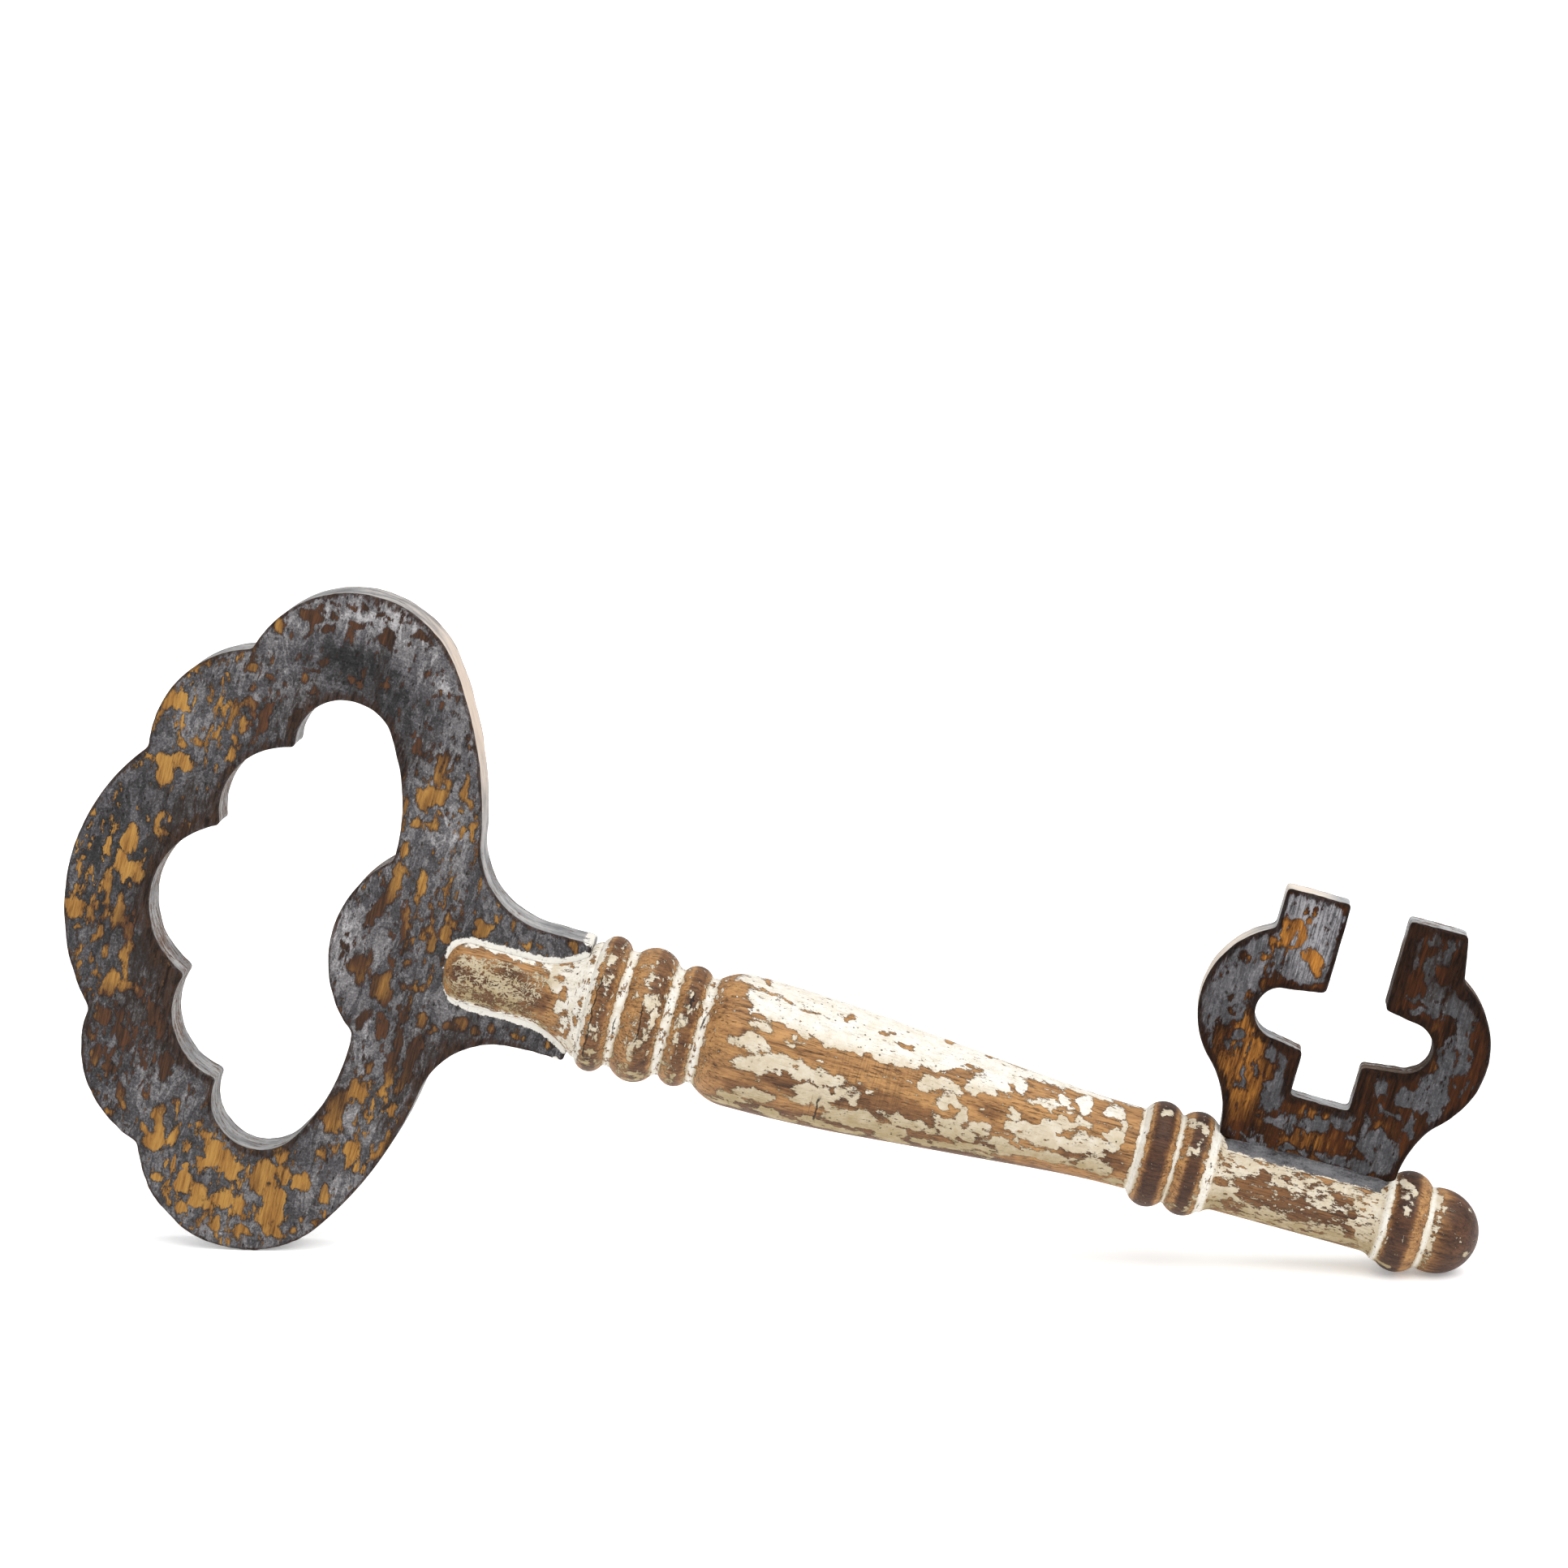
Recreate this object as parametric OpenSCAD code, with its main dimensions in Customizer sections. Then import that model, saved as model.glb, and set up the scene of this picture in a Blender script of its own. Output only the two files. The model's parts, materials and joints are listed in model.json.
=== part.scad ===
// Decorative skeleton key in distressed wood: a scroll-sawn bow board, a turned
// shank and a scroll-sawn bit board, glued together.
//
// Each piece is drawn about the key's own axis. X runs along the shank from the
// end of the bow's neck towards the ball, Y goes through the boards and Z points
// to the side that the bit is on. The whole key is then leaned until the bow's
// lower lobe and the ball stand on the floor, z = 0.

/* [Boards] */
// Thickness of the plywood that the bow is sawn from
bow_t = 18; // [12:1:22]
// Thickness of the plywood that the bit is sawn from
bit_t = 12; // [8:1:15]

/* [Bow outline] */
// Length of the bow board, from the end of its neck to its far end
bow_len = 189; // [180:1:200]
// Radius of the wide lobe at the far end
end_lobe_r = 75.5; // [70:0.5:80]
// Radius of the two shoulder lobes
shoulder_r = 38.7; // [36:0.1:42]
// Distance of the shoulder lobes' centres from the end of the neck
shoulder_x = 132.3; // [128:0.1:136]
// Distance of the shoulder lobes' centres from the axis
shoulder_z = 55.9; // [52:0.1:60]
// Radius of the two big side lobes
side_r = 39.9; // [37:0.1:43]
// Distance of the side lobes' centres from the end of the neck
side_x = 103.8; // [100:0.1:108]
// Distance of the side lobes' centres from the axis
side_z = 83.1; // [78:0.1:88]
// Radius of the flat curve that runs from a side lobe towards the neck
flank_r = 143; // [120:1:170]
// Direction in which a side lobe passes into that curve, in degrees from the axis
flank_angle = 34.6; // [30:0.1:40]
// Width of the neck
neck_w = 44; // [40:0.5:50]
// Radius of the hollow between the flank and the neck
neck_hollow_r = 30.5; // [24:0.5:36]

/* [Bow opening] */
// Radius of the scallop in the far end of the opening
open_end_r = 30.6; // [28:0.1:33]
// Distance of its centre from the end of the neck
open_end_x = 127.9; // [125:0.1:131]
// Radius of the two shoulder scallops
open_shoulder_r = 25; // [23:0.1:27]
// Distance of their centres from the end of the neck
open_shoulder_x = 116.5; // [114:0.1:119]
// Distance of their centres from the axis
open_shoulder_z = 38; // [35:0.1:41]
// Radius of the two side scallops
open_side_r = 17.8; // [15:0.1:20]
// Distance of their centres from the end of the neck
open_side_x = 102.5; // [99:0.1:106]
// Distance of their centres from the axis
open_side_z = 66.8; // [63:0.1:70]
// Radius of the curve from a side scallop towards the central lobe
open_flank_r = 75; // [65:1:85]
// Direction in which a side scallop passes into that curve
open_flank_angle = 32.3; // [28:0.1:36]
// Radius of the central lobe that stands into the opening
centre_lobe_r = 42; // [39:0.1:45]
// Distance of its centre from the end of the neck
centre_lobe_x = 49.5; // [46:0.1:53]

/* [Shank tail] */
// Radius of the round tail that straddles the bow's neck
tail_r = 14.4; // [13:0.1:17]
// Length of the tail, and so the depth of the saw slot in it
tail_len = 50; // [42:1:60]
// Radius of the rounding at the tail's nose
nose_round = 8.5; // [4:0.5:11]
// Radius of the hollow that swells from the tail to the first ring
cove_r = 32; // [26:1:40]
// Distance over which that hollow swells
cove_len = 21; // [18:0.5:24]

/* [Shank rings] */
// Distance from the end of the bow's neck to the first ring
ring_1_start = 3.1; // [2:0.1:5]
// Crest radius of the first ring
ring_1_r = 24.9; // [24:0.1:28]
// Width of the first ring at its foot
ring_1_w = 10.4; // [9:0.1:12]
// Crest radius of the second ring
ring_2_r = 24.6; // [24:0.1:28]
// Width of the second ring at its foot
ring_2_w = 15.6; // [13:0.1:18]
// Crest radius of the third ring
ring_3_r = 22.1; // [21.5:0.1:25]
// Width of the third ring at its foot
ring_3_w = 10.2; // [9:0.1:12]
// Radius at the foot of the first ring and of the groove beside it
groove_1_r = 21.3; // [20.5:0.1:22.5]
// Radius at the foot of the third ring and of the grooves beside it
groove_3_r = 19.3; // [18.5:0.1:20.5]
// Width of the grooves between the three rings and beside the body
groove_w = 2.3; // [1:0.1:4]

/* [Shank body] */
// Largest radius of the vase-shaped body
body_r = 24.1; // [23:0.1:26]
// Radius of the rounding at the body's shoulder
body_round = 18; // [14:0.5:24]
// Length of the parallel stretch after the shoulder
body_flat = 2.2; // [0.5:0.1:8]
// Length of the taper, from the parallel stretch to the ring pair
taper_len = 144.3; // [125:0.1:165]
// Radius at the thin end of the taper
taper_end_r = 14.8; // [14.2:0.1:15.5]
// Radius of the swelling curve at the thick end of the taper
taper_swell_r = 510; // [350:5:800]
// Radius of the hollow curve at the thin end of the taper
taper_hollow_r = 360; // [250:5:600]

/* [Ring pair, stem and ball] */
// Crest radius of the ring on the taper's end
pair_a_r = 19.2; // [18:0.1:21]
// Crest radius of the ring beside the stem
pair_b_r = 18.9; // [18:0.1:21]
// Width of each ring of the pair at its foot
pair_w = 12.2; // [10:0.1:14]
// Radius at the foot of the pair and of the groove between them
pair_groove_r = 16.1; // [15.9:0.1:17]
// Width of the narrow grooves at the ring pair and at the end ring
fine_groove_w = 0.9; // [0.6:0.1:1.5]
// Radius of the straight stem that carries the bit
stem_r = 14; // [13:0.1:15.5]
// Length of the stem, from ring to ring
stem_len = 65; // [60:0.5:75]
// Radius of the small hollows at both ends of the stem
stem_cove_r = 5.5; // [3:0.5:8]
// Crest radius of the end ring
end_ring_r = 18.3; // [17:0.1:20]
// Width of the end ring at its foot
end_ring_w = 13.2; // [11:0.1:15]
// Radius at the foot of the end ring
end_ring_foot_r = 15.4; // [15:0.1:16.2]
// Radius of the neck between the end ring and the ball
ball_neck_r = 14.6; // [13:0.1:14.8]
// Radius of the ball
ball_r = 15.3; // [15:0.1:18]

/* [Bit] */
// Height of the prongs' ends above the shank's axis
prong_top_z = 106.7; // [100:0.5:115]
// Half width of the two prongs together at their ends
prong_half = 32.6; // [31:0.1:34]
// Width of the slot between the prongs
slot_w = 21.4; // [18:0.1:24]
// Sideways shift of the slot between the prongs, towards the ball
slot_shift = 1.1; // [-2:0.1:2]
// Sideways shift of the notch below the side arms, away from the ball
notch_shift = 1.1; // [-2:0.1:2]
// Height above the side arms' centre at which the prongs' flanks meet the round sides
prong_foot = 25.4; // [22:0.1:28]
// How far the foot of the prong next to the ball spreads outwards
prong_spread = 3.6; // [0:0.1:5]
// Height of the notch's floor above the shank's axis
notch_floor_z = 34.7; // [30:0.1:40]
// Height of the side arms' centre above the shank's axis
arm_z = 62.4; // [60:0.1:65]
// Distance from the bit's middle to the end of a side arm
arm_reach = 32; // [29:0.1:34]
// Radius of a side arm's round end
arm_end_r = 9.4; // [8:0.1:11]
// Half height of a side arm where it leaves the slot
arm_mouth = 11.2; // [9.5:0.1:12]
// Radius of the bit's two round sides
cheek_r = 31.8; // [30:0.1:34]
// Distance of their centres from the bit's middle
cheek_x = 20.2; // [18:0.1:22]
// Half width of the waist above the shank
waist_half = 32.1; // [26:0.1:32.4]

/* [Joints] */
// Depth of the bit's tongue below the shank's upper surface
tongue_depth = 9.7; // [6:0.1:12]
// Length of the tongue along the shank
tongue_len = 56; // [40:1:58]
// Gap that the glue fills all round each joint
glue_gap = 0.2; // [0.1:0.05:0.3]
// Width of the white filler bead beside the tail
bead_w = 1.4; // [1:0.1:2.5]
// Height of that bead on the board
bead_h = 1.3; // [0.8:0.1:2]
// Height of the grey filler up the bit's faces
fillet_h = 3; // [2:0.1:4]
// Thickness of the grey filler at its foot
fillet_w = 3.2; // [2:0.1:4]
// Radius of the hollow that a finger leaves in the grey filler
fillet_hollow_r = 12; // [8:1:30]
// Distance by which the grey filler ends short of the bit's edges
fillet_inset = 1; // [0:0.1:4]

/* [Hidden] */
$fn = 144;

// Hairline between filler and wood, so that the solids touch but never overlap
seat = 0.05;
// Length by which a cutting shape runs past what it cuts
past = 5;
// Steps round the large circles that shape the taper
large_fn = 1440;
// Overlap that lets two curves which run smoothly into each other cross cleanly
crossing = 0.02;

// Radius of the circle whose cap is as wide as the ring's foot and as high as its crest
function bead_circle_r(width, height) = (width * width / 4 + height * height) / (2 * height);

// Stations along the axis, from the end of the bow's neck
ring_1_x = ring_1_start + ring_1_w / 2;
ring_2_x = ring_1_x + ring_1_w / 2 + groove_w + ring_2_w / 2;
ring_3_x = ring_2_x + ring_2_w / 2 + groove_w + ring_3_w / 2;
body_start = ring_3_x + ring_3_w / 2 + groove_w;
shoulder_drop = body_r - groove_3_r;
shoulder_len = sqrt(pow(body_round, 2) - pow(body_round - shoulder_drop, 2));
crest_x = body_start + shoulder_len;
taper_start = crest_x + body_flat;
taper_end = taper_start + taper_len;
pair_a_x = taper_end + fine_groove_w + pair_w / 2;
pair_b_x = pair_a_x + pair_w + fine_groove_w;
stem_start = pair_b_x + pair_w / 2;
stem_end = stem_start + stem_len;
end_ring_x = stem_end + end_ring_w / 2;
ball_start = end_ring_x + end_ring_w / 2 + fine_groove_w;
ball_x = ball_start + sqrt(pow(ball_r, 2) - pow(ball_neck_r, 2));
bit_x = (stem_start + stem_end) / 2;
cove_start = ring_1_start - cove_len;

// The two grooves beside the second ring step down evenly
groove_2_r = (groove_1_r + groove_3_r) / 2;

// Angle of the taper's straight stretch, which is tangent to both of its curves
taper_drop = body_r - taper_end_r;
curve_sum = taper_swell_r + taper_hollow_r;
taper_angle = atan2(taper_len, curve_sum - taper_drop)
    - acos(curve_sum / norm([taper_len, curve_sum - taper_drop]));

// Centres of the flat curves that pass tangent out of a round one
flank_c = [-side_x, side_z]
    - (flank_r - side_r + crossing) * [cos(flank_angle), sin(flank_angle)];
open_flank_c = [-open_side_x, open_side_z]
    - (open_flank_r - open_side_r + crossing) * [cos(open_flank_angle), sin(open_flank_angle)];

// Centre of the hollow that touches the flank's curve and the neck's edge
hollow_z = neck_w / 2 + neck_hollow_r - crossing;
hollow_reach = flank_r + neck_hollow_r - crossing;
hollow_x = flank_c[0] + sqrt(pow(hollow_reach, 2) - pow(hollow_z - flank_c[1], 2));
hollow_touch = flank_c + ([hollow_x, hollow_z] - flank_c) * flank_r / hollow_reach;

// The bit's waist: a hollow circle that touches the round side and the waist's edge
bit_seat_z = stem_r + glue_gap;
waist_rise = arm_z - bit_seat_z;
waist_run = waist_half - cheek_x;
waist_r = (pow(waist_run, 2) + pow(waist_rise, 2) - pow(cheek_r, 2)) / (2 * (cheek_r - waist_run));
waist_c = [waist_half + waist_r - crossing, bit_seat_z];
waist_touch = [cheek_x, arm_z] + (waist_c - [cheek_x, arm_z]) * cheek_r / (cheek_r + waist_r);

// Lean of the key: the side lobe and the ball share the floor as a tangent
lobe_run = ball_x + side_x;
lean = atan(side_z / lobe_run) + asin((side_r - ball_r) / norm([lobe_run, side_z]));
end_ring_circle = bead_circle_r(end_ring_w, end_ring_r - end_ring_foot_r);

// Where a point of the key's own X and Z comes to lie along and above the floor
function along(p) = p[0] * cos(lean) + p[1] * sin(lean);
function above(p) = p[1] * cos(lean) - p[0] * sin(lean);

low_z = min(
    above([-side_x, -side_z]) - side_r,
    above([ball_x, 0]) - ball_r,
    above([end_ring_x, end_ring_circle - end_ring_r]) - end_ring_circle
);
left_x = along([end_lobe_r - bow_len, 0]) - end_lobe_r;
right_x = max(
    along([bit_x + cheek_x, arm_z]) + cheek_r,
    along([bit_x + prong_half, prong_top_z]),
    along([ball_x, 0]) + ball_r
);

// Stands the key on the floor with its box centred over the origin
module stand() {
    translate([-(left_x + right_x) / 2, 0, -low_z])
    rotate([0, lean, 0])
    children();
}

// A flat outline in X and Z made into a board of the given thickness
module board(thickness) {
    rotate([90, 0, 0])
    translate([0, 0, -thickness / 2])
    linear_extrude(thickness)
    children();
}

// A half outline, radius across and station up, turned about the key's axis
module turned() {
    rotate([0, 90, 0])
    rotate_extrude()
    children();
}

// The children on both sides of the axis
module both_sides() {
    children();
    mirror([0, 1]) children();
}

// Part of a large circle that carries on from a lobe, on the neck's side of the lobe
module flat_curve(centre, radius, lobe_c) {
    beyond = centre + (lobe_c - centre) * (radius + past) / norm(lobe_c - centre);
    far_x = centre[0] + radius + past;
    intersection() {
        translate(centre) circle(radius);
        polygon([lobe_c, [lobe_c[0], -past], [far_x, -past], [far_x, beyond[1]], beyond]);
    }
}

module bow_outline() {
    translate([end_lobe_r - bow_len, 0]) circle(end_lobe_r);
    translate([-side_x, -neck_w / 2]) square([side_x, neck_w]);
    both_sides() {
        translate([-shoulder_x, shoulder_z]) circle(shoulder_r);
        translate([-side_x, side_z]) circle(side_r);
        flat_curve(flank_c, flank_r, [-side_x, side_z]);
        difference() {
            polygon([[-side_x, 0], [hollow_x, 0], [hollow_x, hollow_z], hollow_touch]);
            translate([hollow_x, hollow_z]) circle(neck_hollow_r);
        }
    }
}

module bow_opening() {
    difference() {
        union() {
            translate([-open_end_x, 0]) circle(open_end_r);
            translate([-open_end_x, -open_shoulder_z])
            square([open_end_x - open_side_x, 2 * open_shoulder_z]);
            both_sides() {
                translate([-open_shoulder_x, open_shoulder_z]) circle(open_shoulder_r);
                translate([-open_side_x, open_side_z]) circle(open_side_r);
                flat_curve(open_flank_c, open_flank_r, [-open_side_x, open_side_z]);
            }
        }
        translate([-centre_lobe_x, 0]) circle(centre_lobe_r);
    }
}

// Scroll-sawn plywood bow, whose neck slides into the shank's slotted tail
module bow_board() {
    color("slategray")
    stand()
    board(bow_t)
    difference() {
        bow_outline();
        bow_opening();
    }
}

// One rounded ring of the turning
module ring(station, foot_r, crest_r, width) {
    r = bead_circle_r(width, crest_r - foot_r);
    intersection() {
        translate([crest_r - r, station]) circle(r);
        translate([0, station - width / 2]) square([crest_r + past, width]);
    }
    translate([0, station - width / 2]) square([foot_r, width]);
}

// The tail, its round nose and the hollow up to the first ring, grown by a margin
module tail_profile(grow = 0) {
    translate([0, -tail_len - grow]) square([tail_r - nose_round, tail_len]);
    translate([0, nose_round - tail_len]) square([tail_r + grow, tail_len - nose_round]);
    intersection() {
        translate([tail_r - nose_round, nose_round - tail_len]) circle(nose_round + grow);
        translate([0, -tail_len - past]) square([tail_r + past, tail_len]);
    }
    difference() {
        translate([0, cove_start]) square([tail_r + cove_r, cove_len]);
        translate([tail_r + cove_r, cove_start]) circle(cove_r - grow);
        translate([groove_1_r + grow, cove_start]) square([cove_r, cove_len + past]);
    }
}

// The vase-shaped body: a rounded shoulder, then a taper that swells, runs straight
// and ends hollow
module body_profile() {
    straight_start = taper_start + taper_swell_r * sin(taper_angle);
    straight_start_r = body_r - taper_swell_r * (1 - cos(taper_angle));
    straight_end = taper_end - taper_hollow_r * sin(taper_angle);
    straight_end_r = taper_end_r + taper_hollow_r * (1 - cos(taper_angle));
    intersection() {
        translate([body_r - body_round, crest_x]) circle(body_round);
        translate([0, body_start]) square([body_r + past, shoulder_len]);
    }
    translate([0, body_start]) square([body_r - body_round, shoulder_len]);
    translate([0, crest_x]) square([body_r, body_flat]);
    intersection() {
        translate([body_r - taper_swell_r, taper_start]) circle(taper_swell_r, $fn = large_fn);
        translate([0, taper_start]) square([body_r + past, straight_start - taper_start]);
    }
    polygon([
        [0, straight_start],
        [straight_start_r, straight_start],
        [straight_end_r, straight_end],
        [0, straight_end]
    ]);
    difference() {
        translate([0, straight_end]) square([straight_end_r, taper_end - straight_end]);
        translate([taper_end_r + taper_hollow_r, taper_end]) circle(taper_hollow_r, $fn = large_fn);
    }
}

// A small hollow in the corner between the stem and a ring
module stem_cove(station, side) {
    difference() {
        translate([0, min(station, station + side * stem_cove_r)])
        square([pair_groove_r, stem_cove_r]);
        translate([stem_r + stem_cove_r, station + side * stem_cove_r]) circle(stem_cove_r);
    }
}

module shank_profile() {
    tail_profile();
    translate([0, ring_1_start - past]) square([groove_1_r - past, 2 * past]);
    ring(ring_1_x, groove_1_r, ring_1_r, ring_1_w);
    translate([0, ring_1_x]) square([groove_1_r, ring_2_x - ring_1_x]);
    ring(ring_2_x, groove_2_r, ring_2_r, ring_2_w);
    translate([0, ring_2_x]) square([groove_3_r, body_start - ring_2_x]);
    ring(ring_3_x, groove_3_r, ring_3_r, ring_3_w);
    body_profile();
    translate([0, taper_end - past]) square([taper_end_r, stem_start - taper_end + past]);
    ring(pair_a_x, pair_groove_r, pair_a_r, pair_w);
    translate([0, pair_a_x]) square([pair_groove_r, pair_b_x - pair_a_x]);
    ring(pair_b_x, pair_groove_r, pair_b_r, pair_w);
    translate([0, stem_start]) square([stem_r, stem_len]);
    stem_cove(stem_start, 1);
    stem_cove(stem_end, -1);
    ring(end_ring_x, end_ring_foot_r, end_ring_r, end_ring_w);
    translate([0, end_ring_x]) square([ball_neck_r, ball_x - end_ring_x]);
    intersection() {
        translate([0, ball_x]) circle(ball_r);
        translate([0, ball_start]) square([ball_r + past, ball_x + ball_r]);
    }
}

// Saw slot in the tail that takes the bow's neck
module neck_slot() {
    width = bow_t + 2 * glue_gap;
    translate([-tail_len - past, -width / 2, -ring_1_r - past])
    cube([tail_len + past + glue_gap, width, 2 * (ring_1_r + past)]);
}

// Mortise in the stem that takes the bit's tongue
module tongue_mortise() {
    length = tongue_len + 2 * glue_gap;
    width = bit_t + 2 * glue_gap;
    translate([bit_x - length / 2, -width / 2, stem_r - tongue_depth])
    cube([length, width, tongue_depth + past]);
}

// The whole shank is one turning, from the slotted tail to the ball
module turned_shank() {
    color("burlywood")
    stand()
    difference() {
        turned() shank_profile();
        neck_slot();
        tongue_mortise();
    }
}

// A side arm of the cross-shaped cut-out, between its corners on the slot and the notch
module side_arm(slot_edge, notch_edge) {
    translate([arm_reach - arm_end_r, 0]) circle(arm_end_r);
    polygon([
        [0, -arm_mouth],
        [notch_edge, -arm_mouth],
        [arm_reach - arm_end_r, -arm_end_r],
        [arm_reach - arm_end_r, arm_end_r],
        [slot_edge, arm_mouth],
        [0, arm_mouth]
    ]);
}

module bit_outline() {
    for (side = [-1, 1]) {
        translate([side * cheek_x, arm_z]) circle(cheek_r);
    }
    // Waist between its two hollows
    difference() {
        translate([-waist_touch[0], bit_seat_z])
        square([2 * waist_touch[0], waist_touch[1] - bit_seat_z]);
        for (side = [-1, 1]) {
            translate([side * waist_c[0], waist_c[1]]) circle(waist_r);
        }
    }
    // Web between the round sides, up to both prongs' ends
    polygon([
        [-prong_half, prong_top_z],
        [-prong_half, arm_z + prong_foot],
        [-cheek_x, notch_floor_z],
        [cheek_x, notch_floor_z],
        [prong_half + prong_spread, arm_z + prong_foot],
        [prong_half, prong_top_z]
    ]);
}

// Cross-shaped cut-out, open between the prongs
module bit_cut_out() {
    half = slot_w / 2;
    middle = arm_mouth / 2;
    translate([slot_shift - half, arm_z - middle]) square([slot_w, prong_top_z]);
    translate([-notch_shift - half, notch_floor_z]) square([slot_w, arm_z - notch_floor_z + middle]);
    translate([0, arm_z]) side_arm(half + slot_shift, half - notch_shift);
    translate([0, arm_z]) mirror([1, 0]) side_arm(half - slot_shift, half + notch_shift);
}

// Scroll-sawn plywood bit with its tongue
module bit_board() {
    tongue_top = bit_seat_z + past;
    tongue_low = stem_r - tongue_depth + glue_gap;
    color("dimgray")
    stand()
    translate([bit_x, 0, 0])
    board(bit_t) {
        difference() {
            bit_outline();
            bit_cut_out();
        }
        translate([-tongue_len / 2, tongue_low]) square([tongue_len, tongue_top - tongue_low]);
    }
}

// White filler worked into the corner between the tail and one face of the bow
module tail_filler(side) {
    near = bow_t / 2 + seat;
    difference() {
        intersection() {
            turned() tail_profile(bead_w);
            translate([-tail_len - bead_w - past, side > 0 ? near : -near - bead_h, -ring_1_r])
            cube([tail_len + bead_w + past - seat, bead_h, 2 * ring_1_r]);
        }
        turned() tail_profile(seat);
    }
}

module tail_filler_front() {
    color("whitesmoke") stand() tail_filler(-1);
}

module tail_filler_back() {
    color("whitesmoke") stand() tail_filler(1);
}

// Grey filler worked with a finger into the corner between the stem and one face of the bit
module bit_filler(side) {
    near = bit_t / 2 + seat;
    foot_y = near + fillet_w;
    top_z = sqrt(pow(stem_r, 2) - pow(near, 2)) + fillet_h;
    foot_z = sqrt(pow(stem_r, 2) - pow(foot_y, 2));
    fillet_len = 2 * (waist_half - fillet_inset);
    chord = [foot_y - near, foot_z - top_z];
    off = sqrt(pow(fillet_hollow_r, 2) - pow(norm(chord) / 2, 2));
    hollow_c = [near, top_z] + chord / 2 + [-chord[1], chord[0]] / norm(chord) * off;
    difference() {
        translate([bit_x - fillet_len / 2, 0, 0])
        rotate([90, 0, 90])
        linear_extrude(fillet_len)
        mirror([side > 0 ? 0 : 1, 0])
        difference() {
            polygon([[near, 0], [foot_y, 0], [foot_y, foot_z], [near, top_z]]);
            translate(hollow_c) circle(fillet_hollow_r);
        }
        turned() stem_clear_profile();
    }
}

// Space that the stem and its two small hollows need, grown by the hairline
module stem_clear_profile() {
    translate([0, stem_start - past]) square([stem_r + seat, stem_len + 2 * past]);
    for (end = [[stem_start, 1], [stem_end, -1]]) {
        difference() {
            translate([0, min(end[0], end[0] + end[1] * stem_cove_r)])
            square([pair_groove_r + past, stem_cove_r]);
            translate([stem_r + stem_cove_r, end[0] + end[1] * stem_cove_r]) circle(stem_cove_r - seat);
        }
    }
}

module bit_filler_front() {
    color("gray") stand() bit_filler(-1);
}

module bit_filler_back() {
    color("gray") stand() bit_filler(1);
}

bow_board();
turned_shank();
bit_board();
tail_filler_front();
tail_filler_back();
bit_filler_front();
bit_filler_back();
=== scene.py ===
"""Dresses the decorative key: two sawn plywood boards glued into one turned shank.

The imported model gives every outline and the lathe's profile. This script builds
finer meshes over them, with worn arrises, beads of filler and hand-made
unevenness, and gives each one its distressed finish. Lengths are in millimetres
unless a name ends in _m, and the key's own axes are X along the shank from the
neck's end towards the ball, Y through the boards and Z up the boards.
"""

from __future__ import annotations

import json
import logging
import math
from collections.abc import Sequence
from dataclasses import dataclass, replace
from enum import Enum
from functools import cached_property, partial
from typing import Any

import bpy
import numpy as np
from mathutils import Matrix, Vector, kdtree
from mathutils.geometry import delaunay_2d_cdt

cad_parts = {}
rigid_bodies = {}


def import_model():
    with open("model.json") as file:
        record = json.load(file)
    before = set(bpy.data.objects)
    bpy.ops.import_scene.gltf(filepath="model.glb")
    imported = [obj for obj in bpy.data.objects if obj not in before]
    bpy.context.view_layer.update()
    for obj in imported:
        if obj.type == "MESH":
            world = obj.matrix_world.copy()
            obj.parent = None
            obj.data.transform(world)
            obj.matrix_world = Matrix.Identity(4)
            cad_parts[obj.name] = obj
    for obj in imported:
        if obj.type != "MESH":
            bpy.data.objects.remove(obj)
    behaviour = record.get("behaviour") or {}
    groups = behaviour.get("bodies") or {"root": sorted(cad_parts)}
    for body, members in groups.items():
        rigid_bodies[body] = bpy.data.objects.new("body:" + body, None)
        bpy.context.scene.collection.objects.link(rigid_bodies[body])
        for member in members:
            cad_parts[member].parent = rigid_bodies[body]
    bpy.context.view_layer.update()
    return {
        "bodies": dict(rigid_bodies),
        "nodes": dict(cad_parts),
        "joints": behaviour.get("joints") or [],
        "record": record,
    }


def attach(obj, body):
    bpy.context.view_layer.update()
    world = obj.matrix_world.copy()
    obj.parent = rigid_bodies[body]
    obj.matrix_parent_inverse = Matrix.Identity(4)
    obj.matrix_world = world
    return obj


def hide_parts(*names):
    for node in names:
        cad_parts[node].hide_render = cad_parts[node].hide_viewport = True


LOG = logging.getLogger("decorative_key")
MM = 0.001
BODY = "root"
FRAME: dict[str, Any] = {}

# How many millimetres from its edge a mark still counts.
FAR = 6.0

# A table of numbers, such as the marks of one kind.
Rows = tuple[tuple[float, ...], ...]

# How a pattern is stretched: the factor on each axis before it is read, or None.
Stretch = tuple[float, ...] | None


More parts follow.
